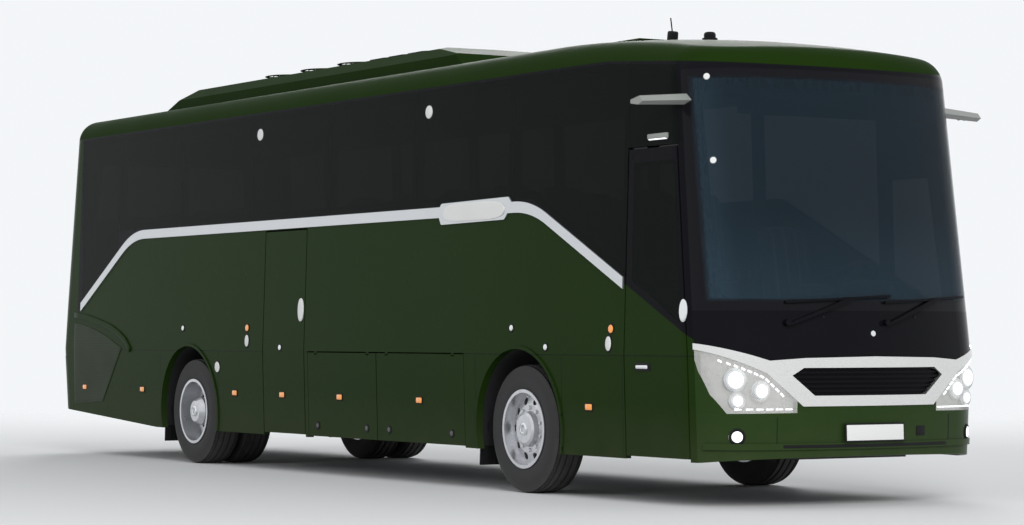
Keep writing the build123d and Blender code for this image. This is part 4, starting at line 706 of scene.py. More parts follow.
class COACH_OT_stage(bpy.types.Operator):
    """Floor, lamps, world and camera"""

    bl_idname = "coach.stage"
    bl_label = "Stage"

    # Name, place, size, share of the key power, and whether glossy surfaces show it
    LAMPS = (
        ("key_lamp", (-9.0, -25.0, 13.0), (12.0, 9.0), 1.0, False),
        ("side_lamp", (-24.0, 4.0, 12.0), (14.0, 9.0), 0.22, False),
        ("rear_lamp", (14.0, 20.0, 12.0), (14.0, 9.0), 0.55, True),
    )
    CAMERA_PLACE = (-12.930, -22.192, 1.249)
    CAMERA_YAW = 31.545
    CAMERA_PITCH = 1.46
    FADE_START, FADE_LENGTH = 8.0, 15.0

    def execute(self, context):
        settings = context.scene.coach_stage
        deselect()
        bpy.ops.mesh.primitive_circle_add(vertices=96, radius=300.0, fill_type="NGON", location=(0, 0, 0))
        floor = bpy.context.object
        floor.name = "floor"
        floor.data.materials.append(self.floor_finish(tuple(settings.floor_colour)))
        for name, place, size, share, glossy in self.LAMPS:
            self.lamp(name, place, size, settings.key_power * share).visible_glossy = glossy
        self.world()
        self.camera(settings.lens)
        context.scene.view_settings.view_transform = "Standard"
        return {"FINISHED"}

    def lamp(self, name, place, size, power):
        data = bpy.data.lights.new(name, "AREA")
        data.shape = "RECTANGLE"
        data.size, data.size_y = size
        data.energy = power
        made = bpy.data.objects.new(name, data)
        bpy.context.scene.collection.objects.link(made)
        made.location = place
        made.rotation_euler = (Vector((0, 0, 1.5)) - Vector(place)).to_track_quat("-Z", "Y").to_euler()
        made.visible_camera = False
        return made

    def floor_finish(self, colour):
        """Pale floor that fades into the white background far away."""
        net = Finish("floor")
        far = net.math("SQRT", net.x * net.x + net.y * net.y)
        fade = net.lowest(1.0, net.highest(0.0, (far - self.FADE_START) / self.FADE_LENGTH))
        tint = net.blend(net.noise(12.0, 5.0) * 0.3, (*colour, 1.0), shade(colour, 0.96))
        clear = net.node("ShaderNodeBsdfTransparent")
        net.feed(net.output.inputs[0], net.mixed(fade, net.shader, clear))
        return net.surface(Base_Color=tint, Roughness=0.8)

    def world(self):
        """A dim sky to light the coach, and a white one to be seen and mirrored."""
        world = bpy.data.worlds.new("studio")
        bpy.context.scene.world = world
        world.use_nodes = True
        net = Net(world.node_tree)
        path = net.node("ShaderNodeLightPath")
        direct = net.highest(net.wire(path, "Is Camera Ray"), net.wire(path, "Is Glossy Ray"))
        rays = net.highest(direct, net.wire(path, "Is Transmission Ray"))
        lit = net.node("ShaderNodeBackground", None, Color=(0.92, 0.96, 1.0, 1.0), Strength=0.46)
        seen = net.node("ShaderNodeBackground", None, Color=(0.90, 0.92, 0.94, 1.0), Strength=1.0)
        net.node("ShaderNodeOutputWorld", None, Surface=net.mixed(rays, lit, seen))

    def camera(self, lens):
        """A long lens ahead of the coach on its door side, at a standing person's eye level."""
        data = bpy.data.cameras.new("camera")
        data.lens = lens
        data.sensor_width = 36.0
        data.clip_end = 500.0
        made = bpy.data.objects.new("camera", data)
        bpy.context.scene.collection.objects.link(made)
        made.location = self.CAMERA_PLACE
        yaw, pitch = math.radians(self.CAMERA_YAW), math.radians(self.CAMERA_PITCH)
        look = Vector((math.sin(yaw) * math.cos(pitch), math.cos(yaw) * math.cos(pitch), math.sin(pitch)))
        made.rotation_euler = look.to_track_quat("-Z", "Y").to_euler()
        bpy.context.scene.camera = made


class COACH_OT_finishes(bpy.types.Operator):
    """Paint every CAD piece"""

    bl_idname = "coach.finishes"
    bl_label = "Finishes"

    def execute(self, context):
        make_finishes()
        for finish, names in NODE_FINISH.items():
            for name in names:
                node = frame["nodes"][name]
                node.data.materials.clear()
                node.data.materials.append(FINISHES[finish])
        return {"FINISHED"}


class COACH_OT_tyres(bpy.types.Operator):
    """Tyres with their tread grooves"""

    bl_idname = "coach.tyres"
    bl_label = "Tyres"

    HALF_WIDTH = 0.1475
    BEAD_R = RIM_R + 0.001
    SHOULDER_OUT = 0.1235
    SHOULDER_IN = 0.1005
    GROOVES = (0.088, 0.032)

    def execute(self, context):
        model = self.tyre_model(context.scene.coach_sizes.tyre_steps)
        for word in ("left", "right"):
            low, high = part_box("front_tyre_" + word)
            middle = (low + high) / 2
            half = (high - low).x / 2
            tyre = put(
                "front_tyre_tread_" + word, "rubber", duplicate(model, middle), body="front_wheel_" + word
            )
            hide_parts("front_tyre_" + word)
            low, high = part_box("rear_tyres_" + word)
            places = [(x, (low.y + high.y) / 2, middle.z) for x in (low.x + half, high.x - half)]
            tyres = [duplicate(model, place) for place in places]
            twin = put("rear_tyre_treads_" + word, "rubber", *tyres, body="rear_wheels_" + word)
            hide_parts("rear_tyres_" + word)
        pick(model)
        bpy.ops.object.delete()
        return {"FINISHED"}

    def tyre_profile(self):
        """Section from the bead round the tread, as (outward, radius)."""
        half, bead = self.HALF_WIDTH, self.BEAD_R
        outer = [
            (half - 0.016, bead), (half - 0.010, bead + 0.018),
            (half - 0.001, bead + 0.045), (half, bead + 0.085),
        ]
        outer += [(half - 0.002, 0.430), (half - 0.010, 0.462), (half - 0.018, 0.484)]
        outer += [(self.SHOULDER_OUT, 0.496), (self.SHOULDER_IN, 0.5025)]
        for groove in self.GROOVES:
            outer += [(groove + 0.009, 0.5035), (groove + 0.006, 0.489)]
            outer += [(groove - 0.006, 0.489), (groove - 0.009, 0.5045)]
        return outer + [(-out, radius) for out, radius in reversed(outer)]

    def tyre_model(self, steps):
        """One tyre about the origin, its shoulders cut into lugs by short grooves."""
        model = turned(self.tyre_profile(), (0.0, 0.0, 0.0), steps)
        pick(model)
        bpy.ops.object.mode_set(mode="EDIT")
        bpy.ops.mesh.select_all(action="DESELECT")
        bpy.ops.object.mode_set(mode="OBJECT")
        shoulder = (self.SHOULDER_IN + self.SHOULDER_OUT) / 2
        for face in model.data.polygons:
            if abs(abs(face.center.x) - shoulder) < 0.012:
                turn = math.atan2(face.center.z, face.center.y) / math.tau * steps
                face.select = round(turn - 0.5) % 2 == 0 and math.hypot(face.center.y, face.center.z) > 0.49
        bpy.ops.object.mode_set(mode="EDIT")
        bpy.ops.mesh.inset(thickness=0.003, depth=-0.009, use_individual=True)
        bpy.ops.object.mode_set(mode="OBJECT")
        return model


# Round and oval fittings on the door side: width, height, depth and finish
AMBER_BUTTON = (0.062, 0.062, 0.020, "amber")
PALE_BUTTON = (0.075, 0.110, 0.018, "white")
SMALL_LAMP = (0.050, 0.050, 0.022, "chrome")
# A white disc that stands in for a bright glint on the rear arch's edge: a painted highlight
HIGHLIGHT_DISC = (0.100, 0.100, 0.016, "white")
LOCK = (0.050, 0.050, 0.018, "chrome")
# Name, node, station, height and kind
SIDE_FITTINGS = (
    ("button_amber_front", "side_panels_right", 1.535, 1.290, AMBER_BUTTON),
    ("button_pale_front", "side_panels_right", 1.565, 1.180, PALE_BUTTON),
    ("button_amber_middle", "side_panels_right", 7.665, 1.310, AMBER_BUTTON),
    ("button_pale_middle", "side_panels_right", 7.665, 1.190, PALE_BUTTON),
    ("lamp_over_front_arch", "side_panels_right", 2.955, 1.300, SMALL_LAMP),
    ("lamp_before_front_arch", "side_panels_right", 2.445, 1.150, SMALL_LAMP),
    ("lamp_over_rear_arch", "side_panels_right", 9.075, 1.310, SMALL_LAMP),
    # Painted highlight: a white disc where a glint shows at the front edge of the rear arch
    ("painted_highlight_disc_by_rear_arch", "side_panels_right", 8.300, 0.940, HIGHLIGHT_DISC),
    ("lock_middle_door", "middle_door", 6.985, 1.130, LOCK),
)
MARKER_Z = 0.700
MARKER_STATIONS = (1.845, 4.435, 5.845, 6.955, 7.935, 10.045, 11.505)
MARKER_NODES = {
    -1: (
        "side_panels_right", "luggage_flap_right_front", "luggage_flap_right_rear", "middle_door",
        "side_panels_right", "side_panels_right", "side_panels_right",
    ),
    1: (
        "side_panels_left", "luggage_flap_left_front", "luggage_flap_left_middle", "luggage_flap_left_rear",
        "luggage_flap_left_rear", "side_panels_left", "side_panels_left",
    ),
}


class COACH_OT_fittings(bpy.types.Operator):
    """Markers, buttons, locks and handles on the sides"""

    bl_idname = "coach.fittings"
    bl_label = "Side fittings"

    UPPER_RIGHT = ("side_wall_right", "side_windows", "roof", "front_door")
    GLASS_FITTINGS = ((4.363, 3.105), (7.512, 3.105), (0.970, 2.700))
    BADGE_MIDDLE = (3.580, 2.246)
    BADGE_HALF = (0.490, 0.066)
    QUARTER_CORNERS = ((10.540, 1.110), (11.780, 1.370), (11.780, 0.520), (11.040, 0.560))
    QUARTER_LINE = (
        (11.780, 1.455), (11.420, 1.425), (11.083, 1.371), (10.820, 1.322), (10.625, 1.262), (10.450, 1.190),
        (10.318, 1.090),
    )

    def execute(self, context):
        for name, node, station, height, (width, tall, depth, finish) in SIDE_FITTINGS:
            skin, oval = beside(node, -1, station, height), tall / width
            put(name, finish, boss(skin, width / 2, depth, depth * 0.3, stretch=oval), body=BODY_OF[node])
            rim = boss(skin, width / 2 + 0.010, depth * 0.5, depth * 0.15, stretch=oval)
            put(name + "_rim", "rubber_black", rim, body=BODY_OF[node])
        self.markers(context.scene.coach_sizes)
        self.handles()
        self.badge()
        self.glass_fittings()
        self.quarter()
        return {"FINISHED"}

    def markers(self, sizes):
        """Amber side markers along the skirt, each on a black base."""
        width, height = sizes.marker_width, sizes.marker_height
        for side, nodes in MARKER_NODES.items():
            for number, (station, node) in enumerate(zip(MARKER_STATIONS, nodes)):
                skin = beside(node, side, station, MARKER_Z)
                word = ("right" if side < 0 else "left") + "_" + str(number + 1)
                put(
                    "side_marker_" + word, "amber", tile(skin, (0.020, width, height), 0.009),
                    body=BODY_OF[node],
                )
                base = tile(skin, (0.012, width + 0.016, height + 0.016), 0.005)
                put("side_marker_base_" + word, "rubber_black", base, body=BODY_OF[node])

    def handles(self):
        """The doors' pulls and the front door's oval lock."""
        pull = boss(beside("middle_door", -1, 6.585, 1.470), 0.050, 0.028, 0.008, stretch=2.1)
        put("middle_door_pull", "white", pull, body="middle_door")
        skin = beside("front_door", -1, 1.105, 1.010)
        put("front_door_pull", "chrome", tile(skin, (0.020, 0.150, 0.030), 0.008, 0.012), body="front_door")
        put("front_door_dish", "rubber_black", tile(skin, (0.010, 0.190, 0.060), 0.004), body="front_door")
        lock = boss(beside("front_door", -1, 0.600, 1.420), 0.045, 0.030, 0.010, stretch=1.9)
        put("front_door_lock", "chrome", lock, body="front_door")

    def badge(self):
        """Blank pale plates with rounded ends on the widened part of each side moulding."""
        for side, word in SIDES:
            plate = grid(32, 8)
            for vertex in plate.data.vertices:
                u, v = vertex.co.x * 2, vertex.co.y * 2
                tall = self.BADGE_HALF[1] * (1 - min(1.0, abs(u)) ** 5) ** 0.5 + 0.008
                station = self.BADGE_MIDDLE[0] + u * self.BADGE_HALF[0]
                height = self.BADGE_MIDDLE[1] + v * tall
                point, normal = beside("waist_mouldings", side, station, height)
                vertex.co = point + normal * 0.003
            put("badge_plate_" + word, "white", thicken(plate, 0.008, 0.002))

    def glass_fittings(self):
        """The small white discs high on the glass, and the lamp over the front door."""
        first, last, lamp = [
            nearest_skin(self.UPPER_RIGHT, (-CLEAR_SIDE, at(station), height), (1, 0, 0))
            for station, height in self.GLASS_FITTINGS
        ]
        put("glass_discs", "white", *[boss(skin, 0.055, 0.014, 0.005, 0.001) for skin in (first, last)])
        put("door_lamp", "arm", tile(lamp, (0.034, 0.250, 0.042), 0.010, 0.004))
        foot = (lamp[0] - Vector((0, 0, 0.018)), lamp[1])
        put("door_lamp_lens", "beam", tile(foot, (0.024, 0.220, 0.016), 0.005, 0.006))

    def quarter(self):
        """The mesh panel behind the rear wheel on the door side, under its swept moulding."""
        panel = side_panel("side_panels_right", -1, self.QUARTER_CORNERS, (24, 16), 0.045, 0.0030, 0.004)
        put("quarter_mesh", "mesh", panel)
        path = []
        for first, last in zip(self.QUARTER_LINE, self.QUARTER_LINE[1:]):
            path += [tuple(Vector(first).lerp(Vector(last), number / 3)) for number in range(3)]
        path.append(self.QUARTER_LINE[-1])
        put("quarter_moulding", "paint", side_ribbon("side_panels_right", -1, path, 0.060, 0.004, 0.022))


class COACH_OT_plates(bpy.types.Operator):
    """Blank number plates, front and rear"""

    bl_idname = "coach.plates"
    bl_label = "Plates"

    def execute(self, context):
        width, height = context.scene.coach_sizes.plate_width, context.scene.coach_sizes.plate_height
        for name, node, finder, z, sign in (
            ("front", "front_bumper", ahead, 0.541, -1), ("rear", "rear_wall", behind, 0.560, 1)
        ):
            point, normal = finder(node, 0.0, z)
            turn = (-sign * math.atan2(normal.z, sign * normal.y), 0.0, 0.0)
            out = Vector((0, sign, 0))
            holder = block(point + out * 0.004, (width + 0.024, 0.012, height + 0.024), turn, 0.004)
            plate = block(point + out * 0.012, (width, 0.006, height), turn, 0.002)
            put(name + "_plate_holder", "rubber_black", holder)
            put(name + "_plate", "white", plate)
        return {"FINISHED"}


class COACH_OT_headlamps(bpy.types.Operator):
    """Projectors, reflector bowls and light strips behind the headlamp glass"""

    bl_idname = "coach.headlamps"
    bl_label = "Headlamps"

    # Distance from the middle, height and radius of each projector
    UNITS = ((1.075, 0.925, 0.070), (0.905, 0.845, 0.058), (1.060, 0.775, 0.048))
    STRIP_CORNERS = (Vector((0.735, 0.800)), Vector((0.885, 0.938)), Vector((1.185, 1.068)))
    STRIP_COUNTS = (4, 7)
    FOOT_ROW = (0.700, 0.714)
    FOOT_STEP = 0.072
    FOOT_COUNT = 6
    BEHIND_GLASS = 0.010

    def execute(self, context):
        for side, word in SIDES:
            bowls, beads, rings = [], [], []
            for x, z, radius in self.UNITS:
                point, normal = ahead("headlamps", side * x, z)
                forward = Vector((normal.x * 0.35, normal.y, 0.0)).normalized()
                bowls.append(drum(point - forward * 0.024, radius + 0.020, 0.028, forward, 40, 0.010))
                rings.append(drum(point - forward * 0.012, radius + 0.006, 0.016, forward, 40, 0.006))
                beads.append(drum(point - forward * 0.008, radius - 0.010, 0.022, forward, 40, 0.009))
            put("headlamp_bowls_" + word, "bowl", *bowls)
            put("headlamp_rings_" + word, "chrome", *rings)
            put("headlamp_beads_" + word, "beam", *beads)
            put("headlamp_strips_" + word, "beam", *self.strips(side))
        return {"FINISHED"}

    def strips(self, side):
        """Short light bars that step up along the lamp's upper edge, and one row along its foot."""
        bars = []
        for first, last, count in zip(self.STRIP_CORNERS, self.STRIP_CORNERS[1:], self.STRIP_COUNTS):
            slope = math.atan2(last.y - first.y, last.x - first.x)
            for number in range(count):
                spot = first + (last - first) * ((number + 0.5) / count)
                point, normal = ahead("headlamps", side * spot.x, spot.y)
                turn = (0.0, -side * slope, 0.0)
                bars.append(block(point - normal * self.BEHIND_GLASS, (0.037, 0.012, 0.014), turn, 0.004))
        for number in range(self.FOOT_COUNT):
            x = self.FOOT_ROW[0] + number * self.FOOT_STEP
            skin = ahead("headlamps", side * x, self.FOOT_ROW[1])
            bars.append(tile(skin, (0.060, 0.012, 0.012), 0.004, -self.BEHIND_GLASS))
        return bars


class COACH_OT_nose(bpy.types.Operator):
    """Camera bead, washer jets, fog lamp rings and the bumper's joints"""

    bl_idname = "coach.nose"
    bl_label = "Nose details"

    # Name, x, height, radius and finish of the round parts of the black panel
    BEADS = (
        ("bead", 0.0, 1.255, 0.022, "chrome"), ("jet_left", 0.42, 1.375, 0.010, "rubber_black"),
        ("jet_right", -0.42, 1.375, 0.010, "rubber_black"),
    )
    SCREEN_DISCS = ((-1.105, 3.110), (-1.110, 2.500))
    CAMERA_Z = 2.927

    def bumper_part(self, name, x, z, size, cuts, lift, thick):
        start = (x, at(-CLEAR_END), z)
        put(name, "rubber_black", patch("front_bumper", start, (0, 1, 0), size, cuts, lift, thick))

    def execute(self, context):
        for name, x, z, radius, finish in self.BEADS:
            bead = boss(ahead("front_panel", x, z), radius, 0.016, 0.004)
            put("nose_" + name, finish, bead, slot="bright_trim")
        for side, word in SIDES:
            skin = ahead("headlamps", side * 1.060, 0.520)
            put("fog_lamp_ring_" + word, "rubber_black", boss(skin, 0.060, 0.014, 0.005, 0.001, 40))
            put("fog_lamp_bead_" + word, "beam", boss(skin, 0.040, 0.012, 0.005, 0.006, 40))
            self.bumper_part(
                "bumper_joint_" + word, side * 0.790, 0.555, (0.006, 0.210), (1, 8), 0.0005, 0.003
            )
        places = [ahead("windscreen", x, z) for x, z in self.SCREEN_DISCS]
        put("screen_discs", "white", *[boss(skin, 0.024, 0.012, 0.004, 0.002) for skin in places])
        self.arm_cameras()
        self.bumper_part("bumper_slot", 0.0, 0.448, (1.5, 0.022), (24, 1), 0.001, 0.004)
        self.bumper_part("front_tow_cover", 0.470, 0.545, (0.090, 0.070), (2, 2), 0.002, 0.005)
        return {"FINISHED"}

    def arm_cameras(self):
        """Two lenses on the back face of each camera arm's outer end."""
        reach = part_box("camera_arms")[1].x
        for side, word in SIDES:
            starts = [(side * (reach - inset), at(3.0), self.CAMERA_Z) for inset in (0.040, 0.095)]
            places = [on_skin("camera_arms", start, (0, -1, 0)) for start in starts]
            rings = [boss(skin, 0.015, 0.014, 0.003) for skin in places]
            put("arm_camera_rings_" + word, "rubber_black", *rings)
            lenses = [boss(skin, 0.010, 0.010, 0.004, 0.005) for skin in places]
            put("arm_camera_lenses_" + word, "gloss_black", *lenses)


class COACH_OT_flaps(bpy.types.Operator):
    """Locks in their round cups on the luggage flaps"""

    bl_idname = "coach.flaps"
    bl_label = "Flap locks"

    LOCK_Z = 0.440
    LOCK_SHARES = (0.14, 0.86)

    def execute(self, context):
        for name in sorted(frame["nodes"]):
            if not name.startswith("luggage_flap_"):
                continue
            low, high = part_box(name)
            side = 1 if low.x > 0 else -1
            locks, cups = [], []
            for share in self.LOCK_SHARES:
                station = low.y + (high.y - low.y) * share + LENGTH / 2
                skin = beside(name, side, station, self.LOCK_Z)
                cups.append(boss(skin, 0.038, 0.010, 0.003))
                locks.append(boss(skin, 0.021, 0.014, 0.004, 0.003, 24))
                locks.append(tile(skin, (0.008, 0.034, 0.008), 0.002, 0.008))
            put(name + "_cups", "rubber_black", *cups, body=BODY_OF[name])
            put(name + "_locks", "cast", *locks, body=BODY_OF[name])
        return {"FINISHED"}


class COACH_OT_tail(bpy.types.Operator):
    """Reflectors, lamp rings and the small fittings of the tail"""

    bl_idname = "coach.tail"
    bl_label = "Tail details"

    LAMP_X = 1.150
    LAMP_HEIGHTS = (1.115, 1.250, 1.385)

    def execute(self, context):
        for side, word in SIDES:
            place = behind("rear_wall", side * 0.980, 0.480)[0]
            # The reflector takes the red lens finish, whose faint glow makes it shine like a lit lamp:
            # painted light on a part that is no lamp
            reflector = block(place, (0.150, 0.016, 0.052), (0, 0, -side * 0.05), 0.006)
            put("rear_reflector_" + word, "red", reflector)
            places = [behind("tail_lamps", side * self.LAMP_X, z) for z in self.LAMP_HEIGHTS]
            rings = [boss(skin, 0.050, 0.012, 0.004, 0.0, 40) for skin in places]
            put("tail_lamp_rings_" + word, "chrome", *rings)
            low, middle, high = [boss(skin, 0.041, 0.012, 0.005, 0.004, 40) for skin in places]
            put("tail_lights_" + word, "red", low, high)
            put("tail_turn_light_" + word, "amber", middle, slot="red_lens")
        grip_at = behind("engine_cover", 0.0, 0.672)[0] + Vector((0, 0.006, 0))
        grip = block(grip_at, (0.260, 0.020, 0.026), bevel=0.007)
        put("engine_cover_grip", "rubber_black", grip, body="engine_cover")
        put("high_brake_light", "red", tile(behind("rear_wall", 0.0, 3.150), (0.420, 0.016, 0.026), 0.005))
        housing = boss(behind("engine_cover", 0.0, 1.590), 0.026, 0.030, 0.008)
        put("rear_view_camera", "rubber_black", housing, body="engine_cover")
        return {"FINISHED"}


class COACH_OT_roof(bpy.types.Operator):
    """Fans, intake slats and aerials on the roof"""

    bl_idname = "coach.roof_details"
    bl_label = "Roof details"

    ROW_X = (-0.34, 0.34)
    FAN_STATIONS = (7.10, 7.85, 8.60)
    GUARD_RADII = (0.075, 0.125, 0.175)
    # Section of a fan's rim, as (upward, radius)
    RIM = ((-0.004, 0.213), (0.003, 0.214), (0.006, 0.220), (0.005, 0.240), (0.000, 0.254), (-0.004, 0.254))
    WELL_R = 0.213
    WELL_DEPTH = 0.0365
    INTAKE_STATIONS = (5.75, 6.10, 6.45)
    SLAT_COUNT = 6
    SLAT_STEP = 0.045
    AERIAL_X = -0.300

    def fan_guard(self, x, y, z):
        """Spokes and rings over one condenser fan."""
        guard = []
        for number in range(4):
            guard.append(block((x, y, z), (0.430, 0.008, 0.005), (0, 0, number * math.pi / 4), 0.0015))
        for radius in self.GUARD_RADII:
            deselect()
            bpy.ops.mesh.primitive_torus_add(
                location=(x, y, z), major_radius=radius, minor_radius=0.0035,
                major_segments=40, minor_segments=6,
            )
            guard.append(apply_place(bpy.context.object))
        return guard

    def execute(self, context):
        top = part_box("roof_air_unit")[1].z
        guards, rims, wells = [], [], []
        for station in self.FAN_STATIONS:
            for x in self.ROW_X:
                guards += self.fan_guard(x, at(station), top + 0.002)
                rims.append(turned(self.RIM, (x, at(station), top), 48, axis=UP))
                wells.append(drum((x, at(station), top - self.WELL_DEPTH), self.WELL_R, 0.005, UP, 40, 0.001))
        put("air_unit_fan_guards", "rubber_black", *guards)
        put("air_unit_fan_rims", "roof_paint", *rims)
        put("air_unit_fan_floors", "gloss_black", *wells)
        slats = []
        for station in self.INTAKE_STATIONS:
            for x in self.ROW_X:
                for number in range(self.SLAT_COUNT):
                    start = (x, at(station + number * self.SLAT_STEP - 0.11), CLEAR_TOP)
                    slats.append(patch("roof_air_unit", start, DOWN, (0.46, 0.016), (6, 1), 0.004, 0.010))
        put("air_unit_intake_slats", "gloss_black", *slats)
        self.aerials()
        for name in ("roof_hatch_front", "roof_hatch_rear"):
            low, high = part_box(name)
            start = ((low.x + high.x) / 2, (low.y + high.y) / 2, CLEAR_TOP)
            panel = patch(name, start, DOWN, (0.40, 0.54), (8, 8), 0.006, 0.010)
            put(name + "_panel", "roof_paint", panel, body=name)
        return {"FINISHED"}

    def aerials(self):
        """A leaning rod on its foot, and a low dome."""
        point = above("roof", self.AERIAL_X, 2.120)
        foot = drum(point + Vector((0, 0, 0.038)), 0.034, 0.090, (0, -0.15, 1), 32, 0.016, 1.7)
        stem = drum(point + Vector((0, 0.014, 0.125)), 0.0055, 0.130, (0, 0.20, 1), 12, 0.002)
        put("aerial_rod", "rubber_black", foot, stem)
        point = above("roof", self.AERIAL_X, 1.620)
        base = drum(point + Vector((0, 0, 0.004)), 0.060, 0.020, UP, 40, 0.006)
        dome = drum(point + Vector((0, 0, 0.030)), 0.046, 0.062, UP, 40, 0.022)
        put("aerial_dome", "rubber_black", base, dome)


class COACH_OT_cab(bpy.types.Operator):
    """Instruments, screens and blinds of the driver's place, and the luggage racks"""

    bl_idname = "coach.cab"
    bl_label = "Cab and racks"

    RACK_Y = 7.10
    RACK_Z = 3.215

    def execute(self, context):
        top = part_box("dashboard")[1].z
        hood = block((0.620, at(0.845), top + 0.055), (0.460, 0.170, 0.120), (0.18, 0, 0), 0.035)
        cowl = block((0.020, at(0.800), top + 0.040), (0.420, 0.140, 0.090), (0.15, 0, 0), 0.028)
        put("instrument_hoods", "plastic", hood, cowl)
        main = block((0.620, at(0.928), top + 0.070), (0.340, 0.010, 0.085), (0.18, 0, 0), 0.003)
        side = block((0.020, at(0.870), top + 0.052), (0.280, 0.010, 0.062), (0.15, 0, 0), 0.003)
        put("cab_displays", "display", main, side)
        self.racks()
        self.blinds()
        return {"FINISHED"}

    def racks(self):
        """Luggage racks under the roof, each a bin with a rail, over the length of the seats."""
        for side, word in SIDES:
            rack = block((side * 0.900, at(self.RACK_Y), self.RACK_Z), (0.420, 8.60, 0.090))
            for vertex in rack.data.vertices:
                if abs(vertex.co.x) < 0.8:
                    vertex.co.z += 0.035 if vertex.co.z > self.RACK_Z else 0.045
            modify(rack, "BEVEL", width=0.022, segments=3, limit_method="NONE")
            put("luggage_rack_" + word, "plastic", rack)
            rail = drum(
                (side * 0.665, at(self.RACK_Y), 3.300), 0.014, 8.50, (0, -1, 0), 12, 0.004, segments=2
            )
            put("rack_rail_" + word, "chrome", rail)

    def blinds(self):
        """A roller blind drawn a little way down inside the windscreen's top."""
        tube = drum((0.0, at(0.420), 3.020), 0.022, 1.900, (1, 0, 0), 16)
        cloth = block((0.0, at(0.405), 2.930), (1.860, 0.004, 0.180), bevel=0.0015)
        put("windscreen_blind", "rubber_black", tube, cloth)


class COACH_OT_under(bpy.types.Operator):
    """Mud flaps, wheel trims, air springs and dampers"""

    bl_idname = "coach.running_gear"
    bl_label = "Running gear details"

    FLAP_OUTER = 1.215
    FLAP_INNER = {"front": 0.80, "rear": 0.62}
    FLAP_LEAN = (0.06, 0, 0)
    RIB_COUNT = 5
    CAP = ((0.0, 0.052), (0.006, 0.052), (0.012, 0.046), (0.014, 0.036), (0.010, 0.028), (0.0, 0.026))
    SPRING_STATIONS = (9.30, 8.60)
    SPRING_X = 0.50
    SPRING_FOOT = 0.560
    # Section of an air bellow, as (upward, radius)
    BELLOW = (
        (-0.125, 0.070), (-0.110, 0.105), (-0.080, 0.122), (-0.045, 0.105), (-0.005, 0.122), (0.045, 0.105),
        (0.080, 0.118), (0.110, 0.092), (0.125, 0.070), (0.125, 0.020), (-0.125, 0.020),
    )

    def execute(self, context):
        self.mud_flaps()
        self.wheel_trims()
        self.springs()
        return {"FINISHED"}

    def mud_flaps(self):
        """A ribbed rubber sheet behind each wheel, hung from the back of its housing."""
        for axle, (word, inner) in zip(AXLES, self.FLAP_INNER.items()):
            width = self.FLAP_OUTER - inner
            y = at(axle + 0.655)
            for side, hand in SIDES:
                middle = (side * (inner + self.FLAP_OUTER) / 2, y, 0.395)
                parts = [block(middle, (width, 0.014, 0.400), self.FLAP_LEAN, 0.005)]
                for number in range(self.RIB_COUNT):
                    x = side * (inner + 0.06 + number * (width - 0.12) / (self.RIB_COUNT - 1))
                    parts.append(block((x, y - 0.008, 0.380), (0.014, 0.014, 0.330), self.FLAP_LEAN, 0.004))
                put("mud_flap_" + word + "_" + hand, "rubber_black", *parts)

    def wheel_trims(self):
        """A turned cap ring and a valve on each wheel."""
        for name in ("front_rim_left", "front_rim_right", "rear_rims_left", "rear_rims_right"):
            low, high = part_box(name)
            side = 1 if low.x > 0 else -1
            face = high.x if side > 0 else low.x
            y, z = (low.y + high.y) / 2, (low.z + high.z) / 2
            hub_x = on_skin(name, (face + side * 0.5, y + 0.004, z + 0.075), (-side, 0, 0))[0].x
            cap = turned(self.CAP, (hub_x, y, z), 40, side)
            valve = drum((hub_x - side * 0.060, y, z + 0.250), 0.006, 0.060, (side, 0, 0.2), 12, 0.002)
            put(name + "_cap_ring", "chrome", cap, valve, body=BODY_OF[name])

    def springs(self):
        """Air bellows ahead of and behind the rear axle, with plates and beams, and a damper beside each."""
        rubber, metal = [], []
        foot = self.SPRING_FOOT
        for station in self.SPRING_STATIONS:
            span = abs(station - AXLES[1]) + 0.16
            y = at(station)
            for side in (-1, 1):
                x = side * self.SPRING_X
                rubber.append(turned(self.BELLOW, (x, y, foot + 0.105), 32, axis=UP))
                metal.append(drum((x, y, foot - 0.030), 0.100, 0.022))
                beam_at = (x, at((station + AXLES[1]) / 2), foot - 0.050)
                metal.append(block(beam_at, (0.070, span, 0.040), bevel=0.008))
                damper_at = (side * (self.SPRING_X - 0.13), y, foot + 0.120)
                metal.append(drum(damper_at, 0.030, 0.260, (0, 0.25, 1), 20, 0.006))
        put("air_bellows", "rubber_black", *rubber)
        put("spring_beams_and_dampers", "cast", *metal, slot="chassis")


